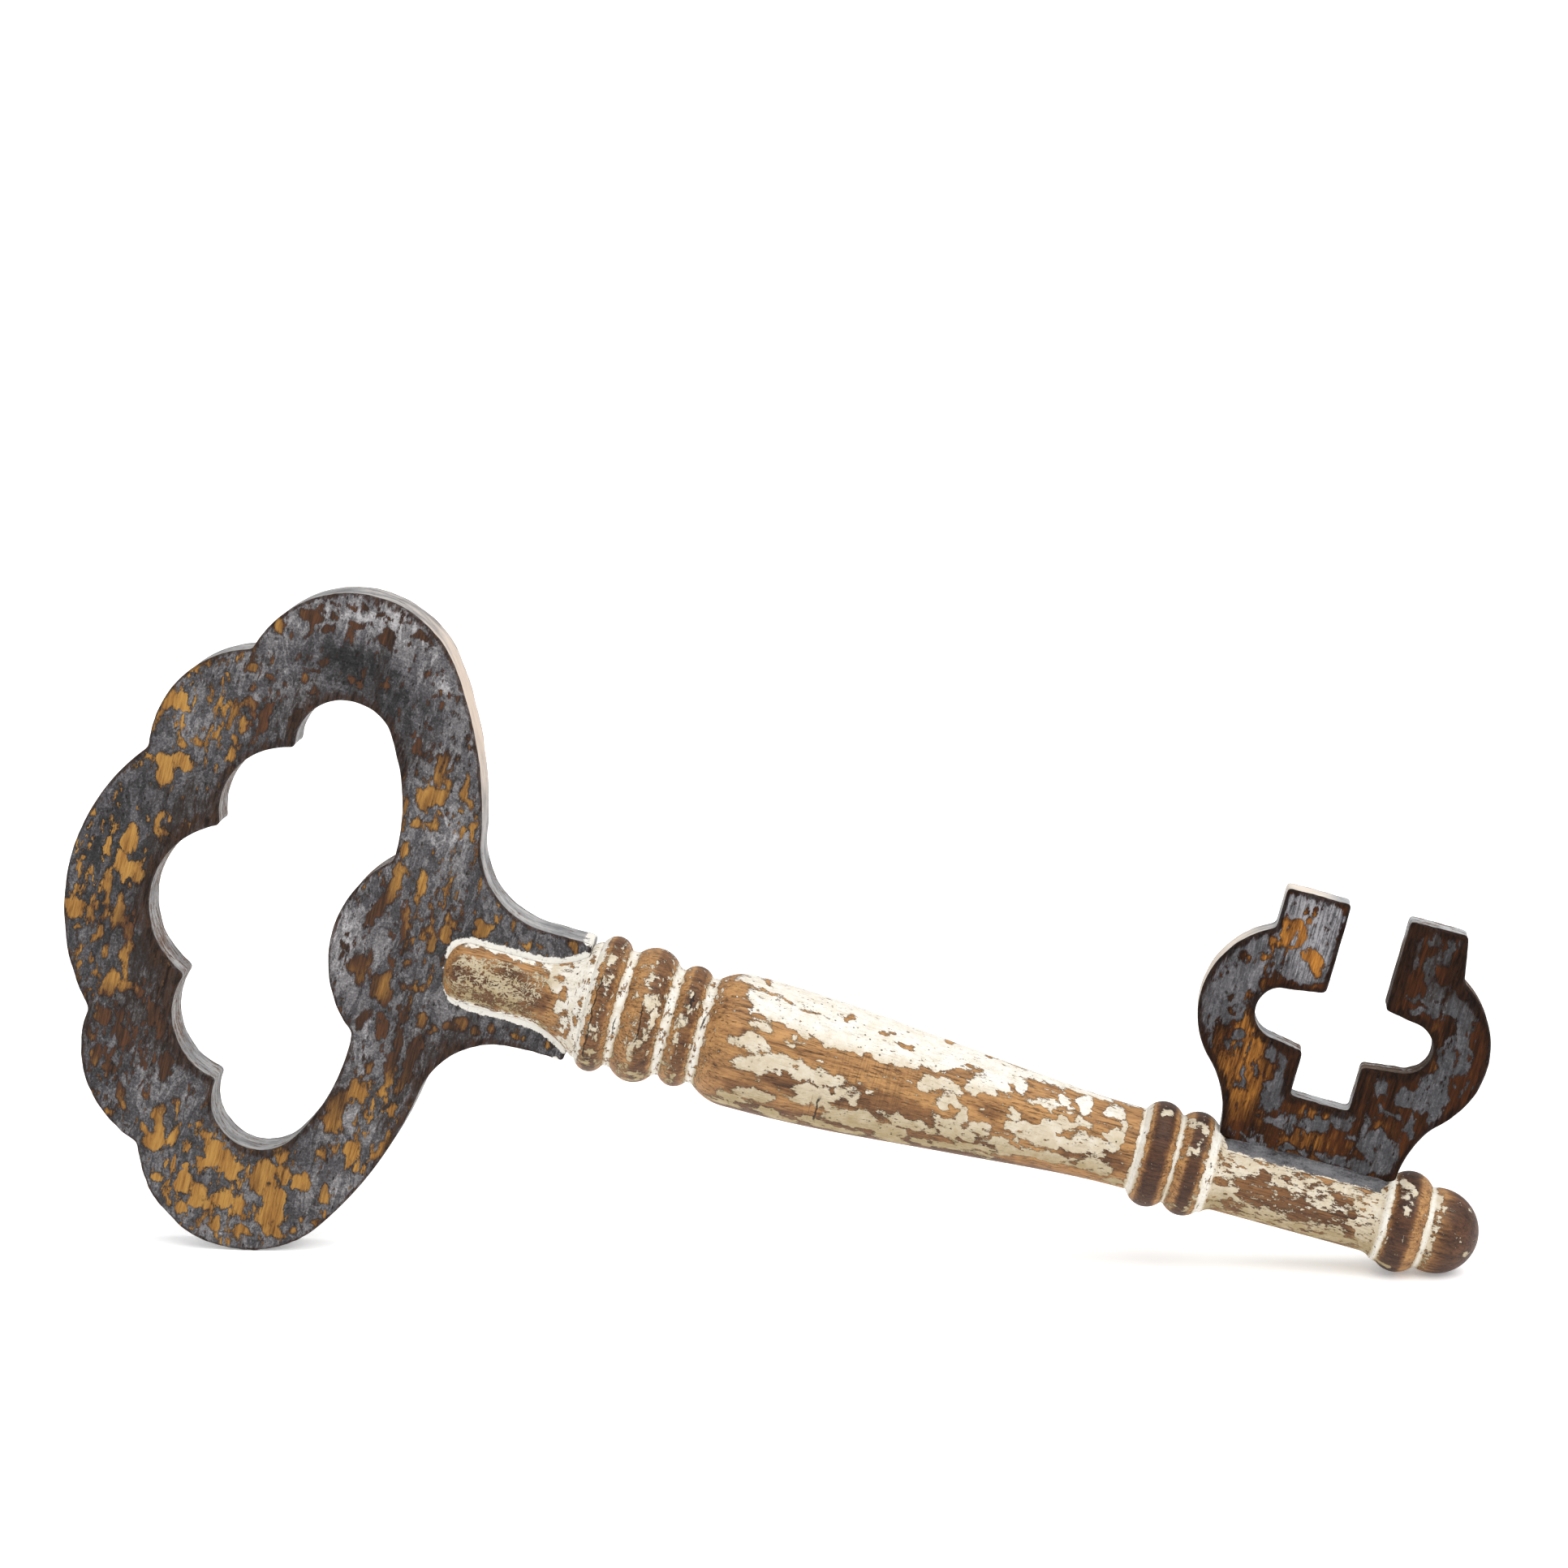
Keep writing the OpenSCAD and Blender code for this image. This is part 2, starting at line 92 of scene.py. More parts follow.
@dataclass(frozen=True)
class KeyPlacement:
    """Where the key's own axes lie in the row frame."""

    lean_deg: float = 14.5324
    neck_end: tuple[float, float] = (-68.4229, 94.295)

    @property
    def lean(self) -> float:
        """The shank's slope in radians."""
        return math.radians(self.lean_deg)

    def to_row(self, points: np.ndarray) -> np.ndarray:
        """Turns key millimetres into row metres.

        Args:
            points: An array of shape (n, 3) in the key's own axes.

        Returns:
            The same points in the row frame, in metres.
        """
        c, s = math.cos(self.lean), math.sin(self.lean)
        x, y, z = points.T
        right, up = x * c + z * s + self.neck_end[0], z * c - x * s + self.neck_end[1]
        return MM * np.stack([right, y, up], axis=1)

    def to_key(self, points: np.ndarray) -> np.ndarray:
        """Turns row metres into key millimetres.

        Args:
            points: An array of shape (n, 3) in the row frame, in metres.

        Returns:
            The same points in the key's own axes, in millimetres.
        """
        c, s = math.cos(self.lean), math.sin(self.lean)
        x, y, z = (points / MM).T
        x, z = x - self.neck_end[0], z - self.neck_end[1]
        return np.stack([x * c - z * s, y, x * s + z * c], axis=1)


PLACE = KeyPlacement()


def hex_linear(code: str) -> tuple[float, float, float, float]:
    """Turns an sRGB hex colour into linear RGBA.

    Args:
        code: Six hex digits, with or without a leading hash.

    Returns:
        The linear colour with alpha 1.
    """
    digits = code.lstrip("#")
    parts = [int(digits[i : i + 2], 16) / 255 for i in (0, 2, 4)]
    linear = [p / 12.92 if p <= 0.04045 else ((p + 0.055) / 1.055) ** 2.4 for p in parts]
    return (linear[0], linear[1], linear[2], 1.0)


def ripple(points: np.ndarray, size: float, seed: int, waves: int = 14) -> np.ndarray:
    """A smooth, repeatable unevenness made of plane waves.

    Args:
        points: An array of shape (n, k) in millimetres.
        size: The usual length of a wave in millimetres.
        seed: The fixed seed of the directions and phases.
        waves: How many waves are added.

    Returns:
        One value for each point, mostly between -1 and 1.
    """
    rng = np.random.default_rng(seed)
    total = np.zeros(len(points))
    for _ in range(waves):
        way = rng.normal(size=points.shape[1])
        way *= 2 * math.pi / (size * rng.uniform(0.6, 1.9)) / np.linalg.norm(way)
        total += np.sin(points @ way + rng.uniform(0, 2 * math.pi))
    return total / math.sqrt(waves / 2) / 1.6


def run_length(points: np.ndarray) -> np.ndarray:
    """How far each point of a line lies from its start, along the line."""
    steps = np.linalg.norm(np.diff(points, axis=0), axis=1)
    return np.concatenate([[0], np.cumsum(steps)])


def point_tree(points: np.ndarray) -> kdtree.KDTree:
    """Makes a search tree of flat points.

    Args:
        points: The points, of shape (n, 2).

    Returns:
        The tree, in which the third coordinate is 0.
    """
    tree = kdtree.KDTree(len(points))
    for i, (x, z) in enumerate(points):
        tree.insert((x, z, 0.0), i)
    tree.balance()
    return tree


def smooth_polyline(
    points: np.ndarray, spacing: float, closed: bool, corner_deg: float = 24.0
) -> np.ndarray:
    """Resamples a line evenly along a smooth curve, and keeps its corners.

    Args:
        points: The line's points, of shape (n, 2).
        spacing: The wanted distance between new points.
        closed: Whether the last point joins the first.
        corner_deg: A turn sharper than this stays a corner.

    Returns:
        The new points.
    """
    n = len(points)
    a, b = points - np.roll(points, 1, 0), np.roll(points, -1, 0) - points
    turn = np.arctan2(a[:, 0] * b[:, 1] - a[:, 1] * b[:, 0], (a * b).sum(1))
    corners = np.flatnonzero(np.degrees(np.abs(turn)) > corner_deg).tolist()
    if closed:
        corners = corners or [0]
        corners.append(corners[0] + n)
    else:
        corners = sorted({0, n - 1, *corners})
    made = [
        catmull_rom(points[np.arange(first, last + 1) % n], spacing)[:-1]
        for first, last in zip(corners, corners[1:])
    ]
    return np.concatenate(made if closed else [*made, points[-1:]])


def catmull_rom(run: np.ndarray, spacing: float) -> np.ndarray:
    """Runs a centripetal Catmull-Rom curve through points, and resamples it evenly.

    Args:
        run: The points, of shape (n, 2).
        spacing: The wanted distance between new points.

    Returns:
        The new points, with both ends kept.
    """
    if len(run) > 2:
        padded = np.concatenate([[2 * run[0] - run[1]], run, [2 * run[-1] - run[-2]]])
        gaps = np.sqrt(np.linalg.norm(np.diff(padded, axis=0), axis=1)) + 1e-9
        knots = np.concatenate([[0], np.cumsum(gaps)])
        fine: list[np.ndarray] = []
        for i in range(len(run) - 1):
            t0, t1, t2, t3 = knots[i : i + 4]
            p0, p1, p2, p3 = padded[i : i + 4]
            t = np.linspace(t1, t2, 9)[:-1, None]
            a1 = (t1 - t) / (t1 - t0) * p0 + (t - t0) / (t1 - t0) * p1
            a2 = (t2 - t) / (t2 - t1) * p1 + (t - t1) / (t2 - t1) * p2
            a3 = (t3 - t) / (t3 - t2) * p2 + (t - t2) / (t3 - t2) * p3
            b1 = (t2 - t) / (t2 - t0) * a1 + (t - t0) / (t2 - t0) * a2
            b2 = (t3 - t) / (t3 - t1) * a2 + (t - t1) / (t3 - t1) * a3
            fine.append((t2 - t) / (t2 - t1) * b1 + (t - t1) / (t2 - t1) * b2)
        run = np.concatenate([*fine, run[-1:]])
    length = run_length(run)
    count = max(1, round(length[-1] / spacing))
    at = np.linspace(0, length[-1], count + 1)
    return np.stack([np.interp(at, length, run[:, k]) for k in range(2)], axis=1)


@dataclass(frozen=True)
class Mark:
    """One chip, worn place or island of paint on a flat board or on the shank.

    x is its middle along the shank's axis, and across its middle up the board in
    millimetres, or round the shank in degrees, from the front upwards. length
    runs along the grain, width across it, and turn tilts it in degrees.
    """

    x: float
    across: float
    length: float
    width: float
    turn: float = 0.0


def mark_field(
    x: np.ndarray, across: np.ndarray, marks: Sequence[Mark], upright: bool, squareness: float = 2.4
) -> np.ndarray:
    """How far each point lies inside the nearest mark.

    Args:
        x: The points' places along the shank's axis, in millimetres.
        across: Their places across it, in millimetres.
        marks: The marks, with across in millimetres too.
        upright: Whether the grain runs across, as on the boards.
        squareness: 2 makes ellipses, and more makes squarer marks.

    Returns:
        Millimetres inside a mark, below zero outside it and never below -FAR.
    """
    best = np.full(len(x), -FAR)
    flat = np.stack([x, across], axis=1)
    x = x + 1.1 * ripple(flat, 8.0, 71) + 0.5 * ripple(flat, 3.5, 72)
    across = across + 1.1 * ripple(flat, 8.0, 73) + 0.5 * ripple(flat, 3.5, 74)
    for mark in marks:
        c, s = math.cos(math.radians(mark.turn)), math.sin(math.radians(mark.turn))
        right, up = x - mark.x, across - mark.across
        right, up = right * c + up * s, up * c - right * s
        along, over = (up, right) if upright else (right, up)
        parts = np.abs(along / mark.length * 2), np.abs(over / mark.width * 2)
        reach = (parts[0] ** squareness + parts[1] ** squareness) ** (1 / squareness)
        best = np.maximum(best, (1 - reach) * min(mark.length, mark.width) / 2)
    return best


@dataclass(frozen=True)
class Strength:
    """How strong something is over a board: a base, and soft round areas that add to it.

    Each area is its middle along the shank and up the board, its reach and the
    amount that it adds.
    """

    base: float
    areas: Rows = ()

    def at(self, x: np.ndarray, z: np.ndarray) -> np.ndarray:
        """Adds the areas up.

        Args:
            x: Places along the shank's axis in millimetres.
            z: Places up the board in millimetres.

        Returns:
            The strength at each place.
        """
        total = np.full(len(x), self.base)
        for middle_x, middle_z, reach, amount in self.areas:
            total += amount * np.exp(-((x - middle_x) ** 2 + (z - middle_z) ** 2) / reach**2)
        return total


def linked(name: str, data: bpy.types.ID) -> bpy.types.Object:
    """Puts a mesh, a light or a camera into the scene as an object at the origin."""
    made = bpy.data.objects.new(name, data)
    bpy.context.scene.collection.objects.link(made)
    return made


def mesh_object(name: str, points_m: np.ndarray, faces: Sequence[Sequence[int]]) -> bpy.types.Object:
    """Makes a mesh object at the origin.

    Args:
        name: The object's name.
        points_m: Its vertices in metres in the row frame.
        faces: Its faces as lists of vertex numbers.

    Returns:
        The new object, linked to the scene.
    """
    mesh = bpy.data.meshes.new(name)
    mesh.from_pydata(points_m.tolist(), [], [list(map(int, f)) for f in faces])
    mesh.validate()
    mesh.update()
    return linked(name, mesh)


def vertices_of(obj: bpy.types.Object) -> np.ndarray:
    """Reads the vertices of an object's mesh.

    Args:
        obj: The object.

    Returns:
        Their places in metres, of shape (n, 3).
    """
    places = np.empty(3 * len(obj.data.vertices))
    obj.data.vertices.foreach_get("co", places)
    return places.reshape(-1, 3)


def set_attribute(obj: bpy.types.Object, name: str, values: np.ndarray) -> None:
    """Stores one number, or one vector, for each vertex.

    Args:
        obj: The mesh object.
        name: The attribute's name.
        values: The values, of shape (n,) or (n, 3).
    """
    kind, slot = ("FLOAT", "value") if values.ndim == 1 else ("FLOAT_VECTOR", "vector")
    made = obj.data.attributes.new(name, kind, "POINT")
    made.data.foreach_set(slot, np.ascontiguousarray(values, np.float32).ravel())


def shade(obj: bpy.types.Object, sharp_deg: float = 38.0) -> None:
    """Shades a mesh smooth, apart from edges sharper than an angle.

    Args:
        obj: The mesh object.
        sharp_deg: Edges sharper than this stay crisp.
    """
    obj.data.polygons.foreach_set("use_smooth", [True] * len(obj.data.polygons))
    obj.data.set_sharp_from_angle(angle=math.radians(sharp_deg))
    obj.data.update()


def stand_for(obj: bpy.types.Object, node: str) -> None:
    """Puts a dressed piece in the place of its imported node.

    Args:
        obj: The dressed piece.
        node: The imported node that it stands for.
    """
    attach(obj, BODY)
    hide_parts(node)
    LOG.info("%s: %d faces stand for %s", obj.name, len(obj.data.polygons), node)


class Grain(Enum):
    """Which of the key's own axes the wood's grain runs along."""

    ALONG_SHANK = 0
    ALONG_BOARD = 2

    def stretch(self, factor: float) -> tuple[float, ...]:
        """The scale that draws a pattern out along the grain, longer for a smaller factor."""
        return tuple(factor if axis == self.value else 1.0 for axis in range(3))


def add_node(
    tree: bpy.types.NodeTree,
    kind: str,
    links: dict[Any, Any] | None = None,
    output: str | int = 0,
    **settings: Any,
) -> Value:
    """Adds one node, sets it and links it.

    Args:
        tree: The node tree.
        kind: The node's type.
        links: For each input, by name or number, a Value, a hex colour or a plain value.
        output: The output that is wanted, by name or number.
        **settings: Attributes of the node itself.

    Returns:
        The wanted output, from which the others can be had too.
    """
    made = tree.nodes.new(kind)
    for name, value in settings.items():
        setattr(made, name, value)
    for key, value in (links or {}).items():
        if isinstance(value, Value):
            tree.links.new(value.socket, made.inputs[key])
        elif isinstance(value, str) and value.startswith("#"):
            made.inputs[key].default_value = hex_linear(value)
        else:
            made.inputs[key].default_value = value
    return Value(made, output)


@dataclass(frozen=True, eq=False)
class Value:
    """One output of a node. Plain arithmetic on it adds the nodes of each sum."""

    node: bpy.types.Node
    output: str | int = 0

    @property
    def socket(self) -> bpy.types.NodeSocket:
        """The output's socket."""
        return self.node.outputs[self.output]

    def __getitem__(self, output: str | int) -> Value:
        """Another output of the same node."""
        return Value(self.node, output)

    def math(self, operation: str, other: Any = 0.0, reverse: bool = False) -> Value:
        """Works out one sum of this value and another.

        Args:
            operation: The sum's name, as the Math node has it.
            other: The other value or number.
            reverse: Whether the other one comes first.

        Returns:
            The result.
        """
        first, second = (other, self) if reverse else (self, other)
        links = {0: first, 1: second}
        return add_node(self.node.id_data, "ShaderNodeMath", links, operation=operation)

    def __add__(self, other: Any) -> Value:
        """This plus another."""
        return self.math("ADD", other)

    def __radd__(self, other: Any) -> Value:
        """Another plus this."""
        return self.math("ADD", other, reverse=True)

    def __sub__(self, other: Any) -> Value:
        """This less another."""
        return self.math("SUBTRACT", other)

    def __rsub__(self, other: Any) -> Value:
        """Another less this."""
        return self.math("SUBTRACT", other, reverse=True)

    def __mul__(self, other: Any) -> Value:
        """This times another."""
        return self.math("MULTIPLY", other)

    def __truediv__(self, other: Any) -> Value:
        """This divided by another."""
        return self.math("DIVIDE", other)

    def __rtruediv__(self, other: Any) -> Value:
        """Another divided by this."""
        return self.math("DIVIDE", other, reverse=True)

    def __abs__(self) -> Value:
        """This without its sign."""
        return self.math("ABSOLUTE")

    def larger(self, other: Any) -> Value:
        """The larger of this and another."""
        return self.math("MAXIMUM", other)

    def smaller(self, other: Any) -> Value:
        """The smaller of this and another."""
        return self.math("MINIMUM", other)

    def eased(self, low: float, high: float, first: float = 0.0, last: float = 1.0) -> Value:
        """Eases from one number to another as this value passes between two limits.

        Args:
            low: The limit at which the result is the first number.
            high: The limit at which it is the last one.
            first: The first number.
            last: The last number.

        Returns:
            The eased value.
        """
        links = {"Value": self, "From Min": low, "From Max": high, "To Min": first, "To Max": last}
        smooth = {"interpolation_type": "SMOOTHSTEP"}
        return add_node(self.node.id_data, "ShaderNodeMapRange", links, **smooth)

    def film(self) -> tuple[Value, Value]:
        """From millimetres inside a film, its crisp mask and the soft band round it, where a painted
        shadow of the film's edge goes.
        """
        mask = self.eased(-0.08, 0.08)
        return mask, self.eased(-0.7, -0.05) * (1.0 - mask)

    def blend(self, first: Value | str, second: Value | str) -> Value:
        """Mixes two colours: 0 gives the first and 1 the second."""
        links = {0: self, 6: first, 7: second}
        return add_node(self.node.id_data, "ShaderNodeMix", links, 2, data_type="RGBA")

    def coloured(self, stops: Sequence[tuple[float, str]]) -> Value:
        """Turns this number into a colour.

        Args:
            stops: Places from 0 to 1 in order, each with its hex colour.

        Returns:
            The colour.
        """
        made = add_node(self.node.id_data, "ShaderNodeValToRGB", {0: self}, "Color")
        points = made.node.color_ramp.elements
        while len(points) < len(stops):
            points.new(0.5)
        for point, (place, code) in zip(points, stops):
            point.position = place
            point.color = hex_linear(code)
        return made


class Pattern:
    """One material in the making, with the pattern steps that the finishes share."""

    def __init__(self, name: str) -> None:
        """Starts an empty material whose patterns run along the key's own axes.

        Args:
            name: The material's name.
        """
        self.material = bpy.data.materials.new(name)
        self.material.use_nodes = True
        self.tree = self.material.node_tree
        self.tree.nodes.clear()
        place = add_node(self.tree, "ShaderNodeTexCoord", output="Object")
        self.key = add_node(
            self.tree, "ShaderNodeMapping", {0: place, "Rotation": (0.0, -PLACE.lean, 0.0)}
        )

    def field(self, name: str) -> Value:
        """Reads what the mesh stores at each vertex under a name."""
        return add_node(self.tree, "ShaderNodeAttribute", output="Fac", attribute_name=name)

    def stretched(self, scale: Stretch, base: Value | None = None) -> Value:
        """Stretches a place, the key's own unless another is given."""
        place = base or self.key
        links = {0: place, "Scale": scale}
        return add_node(self.tree, "ShaderNodeMapping", links) if scale else place

    def noise(
        self,
        size_mm: float,
        stretch: Stretch = None,
        detail: float = 3.0,
        rough: float = 0.55,
        curl: float = 0.0,
        base: Value | None = None,
    ) -> Value:
        """Cloudy noise between 0 and 1.

        Args:
            size_mm: The real size of its patches.
            stretch: The factor on each axis before it is read, smaller for longer patches.
            detail: How many finer rounds of noise it has.
            rough: How strong each of them is.
            curl: How far the patches are curled.
            base: The place that it reads, or None for the key's own.

        Returns:
            The noise.
        """
        links = {"Vector": self.stretched(stretch, base), "Scale": 1 / (size_mm * MM)}
        links |= {"Detail": detail, "Roughness": rough, "Distortion": curl}
        return add_node(self.tree, "ShaderNodeTexNoise", links, "Fac")

    def sway(self, amount: float, *noise: Any) -> Value:
        """Noise that sways about zero within a whole range, from what noise() takes."""
        return (self.noise(*noise) - 0.5) * amount

    def ragged(
        self, field_mm: Value, size_mm: float, swing_mm: float, stretch: Stretch = None
    ) -> Value:
        """Breaks up a mark's outline by bays of a size that swing in and out."""
        return field_mm + self.sway(2 * swing_mm, size_mm, stretch, 9, 0.78)

    def specks(
        self, spacing_mm: float, size_mm: float, share: float, stretch: Stretch = None
    ) -> Value:
        """Scattered dots: 1 inside a dot and 0 outside.

        Args:
            spacing_mm: The size of the cells that hold at most one dot.
            size_mm: A dot's radius.
            share: The share of the cells that hold one.
            stretch: The factor on each axis.

        Returns:
            The mask.
        """
        links = {"Vector": self.stretched(stretch), "Scale": 1 / (spacing_mm * MM)}
        away = add_node(self.tree, "ShaderNodeTexVoronoi", links, "Distance")
        lot = add_node(self.tree, "ShaderNodeSeparateColor", {0: away["Color"]})
        dot = away.eased(size_mm / spacing_mm * 1.25, size_mm / spacing_mm * 0.75)
        return dot * lot.math("LESS_THAN", share)

    def wood(self, grain: Grain, colours: tuple[str, str, str], size_mm: float = 0.8) -> Value:
        """Bare wood with fine dark lines along its grain.

        The lines stand about twice as far apart as a softwood's or a veneer's
        pores, because closer ones wouldn't show.

        Args:
            grain: The grain's direction.
            colours: The light wood, the colour between and the fine lines.
            size_mm: The distance between lines.

        Returns:
            The wood's colour.
        """
        light, middle, dark = colours
        stretch = grain.stretch(0.08)
        fine, broad = self.noise(size_mm, stretch, 6, 0.75), self.noise(size_mm * 6, stretch, 2)
        stops = [(0.36, dark), (0.46, middle), (0.60, light)]
        return (fine * 0.65 + broad * 0.35).coloured(stops)

    def whitened(self, colour: Value, white: str) -> tuple[Value, Value]:
        """Smears white filler over a colour, and gives the smear's mask as well."""
        smear = self.ragged(self.field("white_mm"), 2.6, 2.0).eased(-0.1, 0.1)
        return smear.blend(colour, white), smear

    def finish(
        self,
        colour: Value | str,
        roughness: Value | float,
        height: Value | None = None,
        relief_mm: float = 0.1,
        sheen: float = 0.25,
        glow: float = 0.0,
    ) -> bpy.types.Material:
        """Ends the material in one shader for paint, wood, filler or paper.

        Args:
            colour: The colour, or one hex code all over.
            roughness: The roughness.
            height: The relief between about 0 and 1, or None.
            relief_mm: How high a relief of 1 stands.
            sheen: The share of the mirror-like reflection that dust and pores leave.
            glow: How strongly it shines by itself.

        Returns:
            The finished material.
        """
        links = {"Base Color": colour, "Roughness": roughness, "Metallic": 0.0, "IOR": 1.5}
        links |= {"Specular IOR Level": sheen, "Emission Strength": glow}
        if height is not None:
            relief = {"Height": height, "Strength": 1.0, "Distance": relief_mm * MM}
            links["Normal"] = add_node(self.tree, "ShaderNodeBump", relief)
        shader = add_node(self.tree, "ShaderNodeBsdfPrincipled", links)
        add_node(self.tree, "ShaderNodeOutputMaterial", {"Surface": shader})
        return self.material


@dataclass(frozen=True)
class ChalkPaintFinish:
    """Chalk paint brushed over stained plywood and rubbed back.

    To the eye it is a matt, cloudy slate grey with brush strokes. Ragged chips
    along the grain show golden wood, or dark stain near the top lobe, and the
    arrises are scorched nearly black. Each chip's outline swings by swing_mm in bays
    of rag_mm and is drawn in by shrink_mm, and film_mm is the paint's thickness.
    """

    name: str = "chalk_painted_plywood"
    paint: tuple[tuple[float, str], ...] = (
        (0.28, "#171617"), (0.40, "#302f30"), (0.50, "#4c4a4c"), (0.60, "#747173"), (0.73, "#aca9aa")
    )
    gold: tuple[str, str, str] = ("#a87f40", "#8a602d", "#553719")
    stain: tuple[str, str, str] = ("#553520", "#352318", "#19100b")
    stained_paint: str = "#2a201a"
    # The colour of the painted shadow round each chip, also used for the dark specks.
    shadow_rim: str = "#1a1310"
    burnt: tuple[str, str] = ("#160d08", "#3e2c21")
    white: str = "#dad6ce"
    tone_swing: float = 0.8
    streak_mm: float = 4.0
    rag_mm: float = 4.0
    swing_mm: float = 3.9
    shrink_mm: float = 0.2
    small_chip_mm: float = 2.4
    film_mm: float = 0.2
    sheen: float = 0.16
    grain_lines: float = 0.1
    burnt_cover: float = 0.45

    def build(self) -> bpy.types.Material:
        """Makes the material from the wood up to the specks on the paint.

        Returns:
            The finished material.
        """
        p = Pattern(self.name)
        along, streaky, scabby = (Grain.ALONG_BOARD.stretch(f) for f in (0.42, 0.13, 0.3))
        dark, pale, worn, burn = map(p.field, ("dark", "pale", "worn", "burn_mm"))

        # Chips are the marked ones made ragged and small ones where the paint is
        # worn, less the flecks of paint that hold on inside them.
        marked = p.ragged(p.field("bare_mm"), self.rag_mm, self.swing_mm, along) - self.shrink_mm
        small = (p.noise(self.small_chip_mm, along, 6, 0.64) - (0.66 - worn * 0.13)) * 9.0
        held = (0.68 - p.field("flecks") * 0.12 - p.noise(3.1, along, 7, 0.66)) * 10.0
        inside = marked.larger(small).smaller(held)
        # The chip's crisp mask, and the band round it where a painted shadow goes.
        chip, shadow_rim = inside.film()

        # In a chip the wood is golden in the middle and stained towards its edge.
        patchy = p.sway(1.3, 11.0, along, 4) + p.sway(1.5, self.streak_mm, streaky, 7, 0.72)
        deep = dark + patchy + inside.eased(1.0, 0.0, 0.0, 0.4)
        gold, stained = (p.wood(Grain.ALONG_BOARD, shades) for shades in (self.gold, self.stain))
        wood = deep.eased(0.1, 0.95).blend(gold, stained)

        # The paint's tone: broad clouds, a fine tooth and brush strokes that follow
        # the board round, lifted by curds, crust and scabs of thicker paint. The
        # tooth is about twice as coarse as chalk paint's, so that it shows.
        cloud, tooth = p.noise(16.0, None, 4, 0.6, 0.3), p.noise(0.8, None, 4, 0.75)
        strokes = p.noise(1.3, (1.0, 0.08, 0.08), 6, 0.68, base=p.field("sweep")["Vector"])
        tone = (cloud * 0.27 + tooth * 0.53 + strokes * 0.20 - 0.5) * self.tone_swing + 0.5
        curds = p.noise(6.0, along, 8, 0.72, 1.4).eased(0.49, 0.52)
        crust = p.noise(2.6, None, 7, 0.7, 1.0).eased(0.56, 0.59)
        scabs = (p.noise(4.5, along, 9, 0.74, 0.6) + pale * 0.06).eased(0.575, 0.595)
        lift = (pale - 0.5) * 0.145 + (curds - 0.5) * 0.10 + crust * 0.05 + scabs * 0.045
        grooves = p.sway(1.0, 0.75, Grain.ALONG_BOARD.stretch(0.07), 4, 0.7)
        grooves = grooves * pale.eased(0.4, 1.4, 0.25, 1.0)
        tone = tone + lift * self.tone_swing + grooves * self.grain_lines
        paint = tone.coloured(self.paint)

        # Stain that bleeds through near the arrises, a painted shadow as a dark rim round
        # each chip, and dark specks in the same colour as that shadow.
        bleeding = (burn + p.sway(14.0, 4.0, streaky, 7, 0.72)).eased(3.0, 6.0, 0.0, 0.92)
        bleeding = bleeding * p.noise(1.5, scabby, 8, 0.76).eased(0.44, 0.56, 0.35, 1.0)
        paint = bleeding.blend(paint, self.stained_paint)
        paint = (shadow_rim * p.noise(1.6).eased(0.35, 0.6, 0.1, 0.75)).blend(paint, self.shadow_rim)
        paint = (p.specks(2.0, 0.32, 0.36, along) * 0.85).blend(paint, self.shadow_rim)

        # The scorch along the arrises and white filler lie over paint and wood alike.
        surface = chip.blend(paint, wood)
        reach = p.field("edge_mm") / burn + p.sway(3.4, 2.6, streaky, 7, 0.72)
        burnt = p.noise(1.2, streaky, 5, 0.7).eased(0.38, 0.62).blend(*self.burnt)
        cover = p.noise(1.8, scabby, 9, 0.78).eased(0.42, 0.55, self.burnt_cover, 0.95)
        surface = (reach.eased(1.0, 0.55) * cover).blend(surface, burnt)
        surface, smear = p.whitened(surface, self.white)
        surface = p.specks(14.0, 0.35, 0.2).blend(surface, self.white)

        lines = p.noise(0.7, Grain.ALONG_BOARD.stretch(0.06))
        height = 1.0 - chip + strokes * 0.5 + tooth * 0.7 + lines * chip * 0.4 + smear * 1.2
        return p.finish(surface, 0.8 - chip * 0.24, height, self.film_mm, self.sheen)


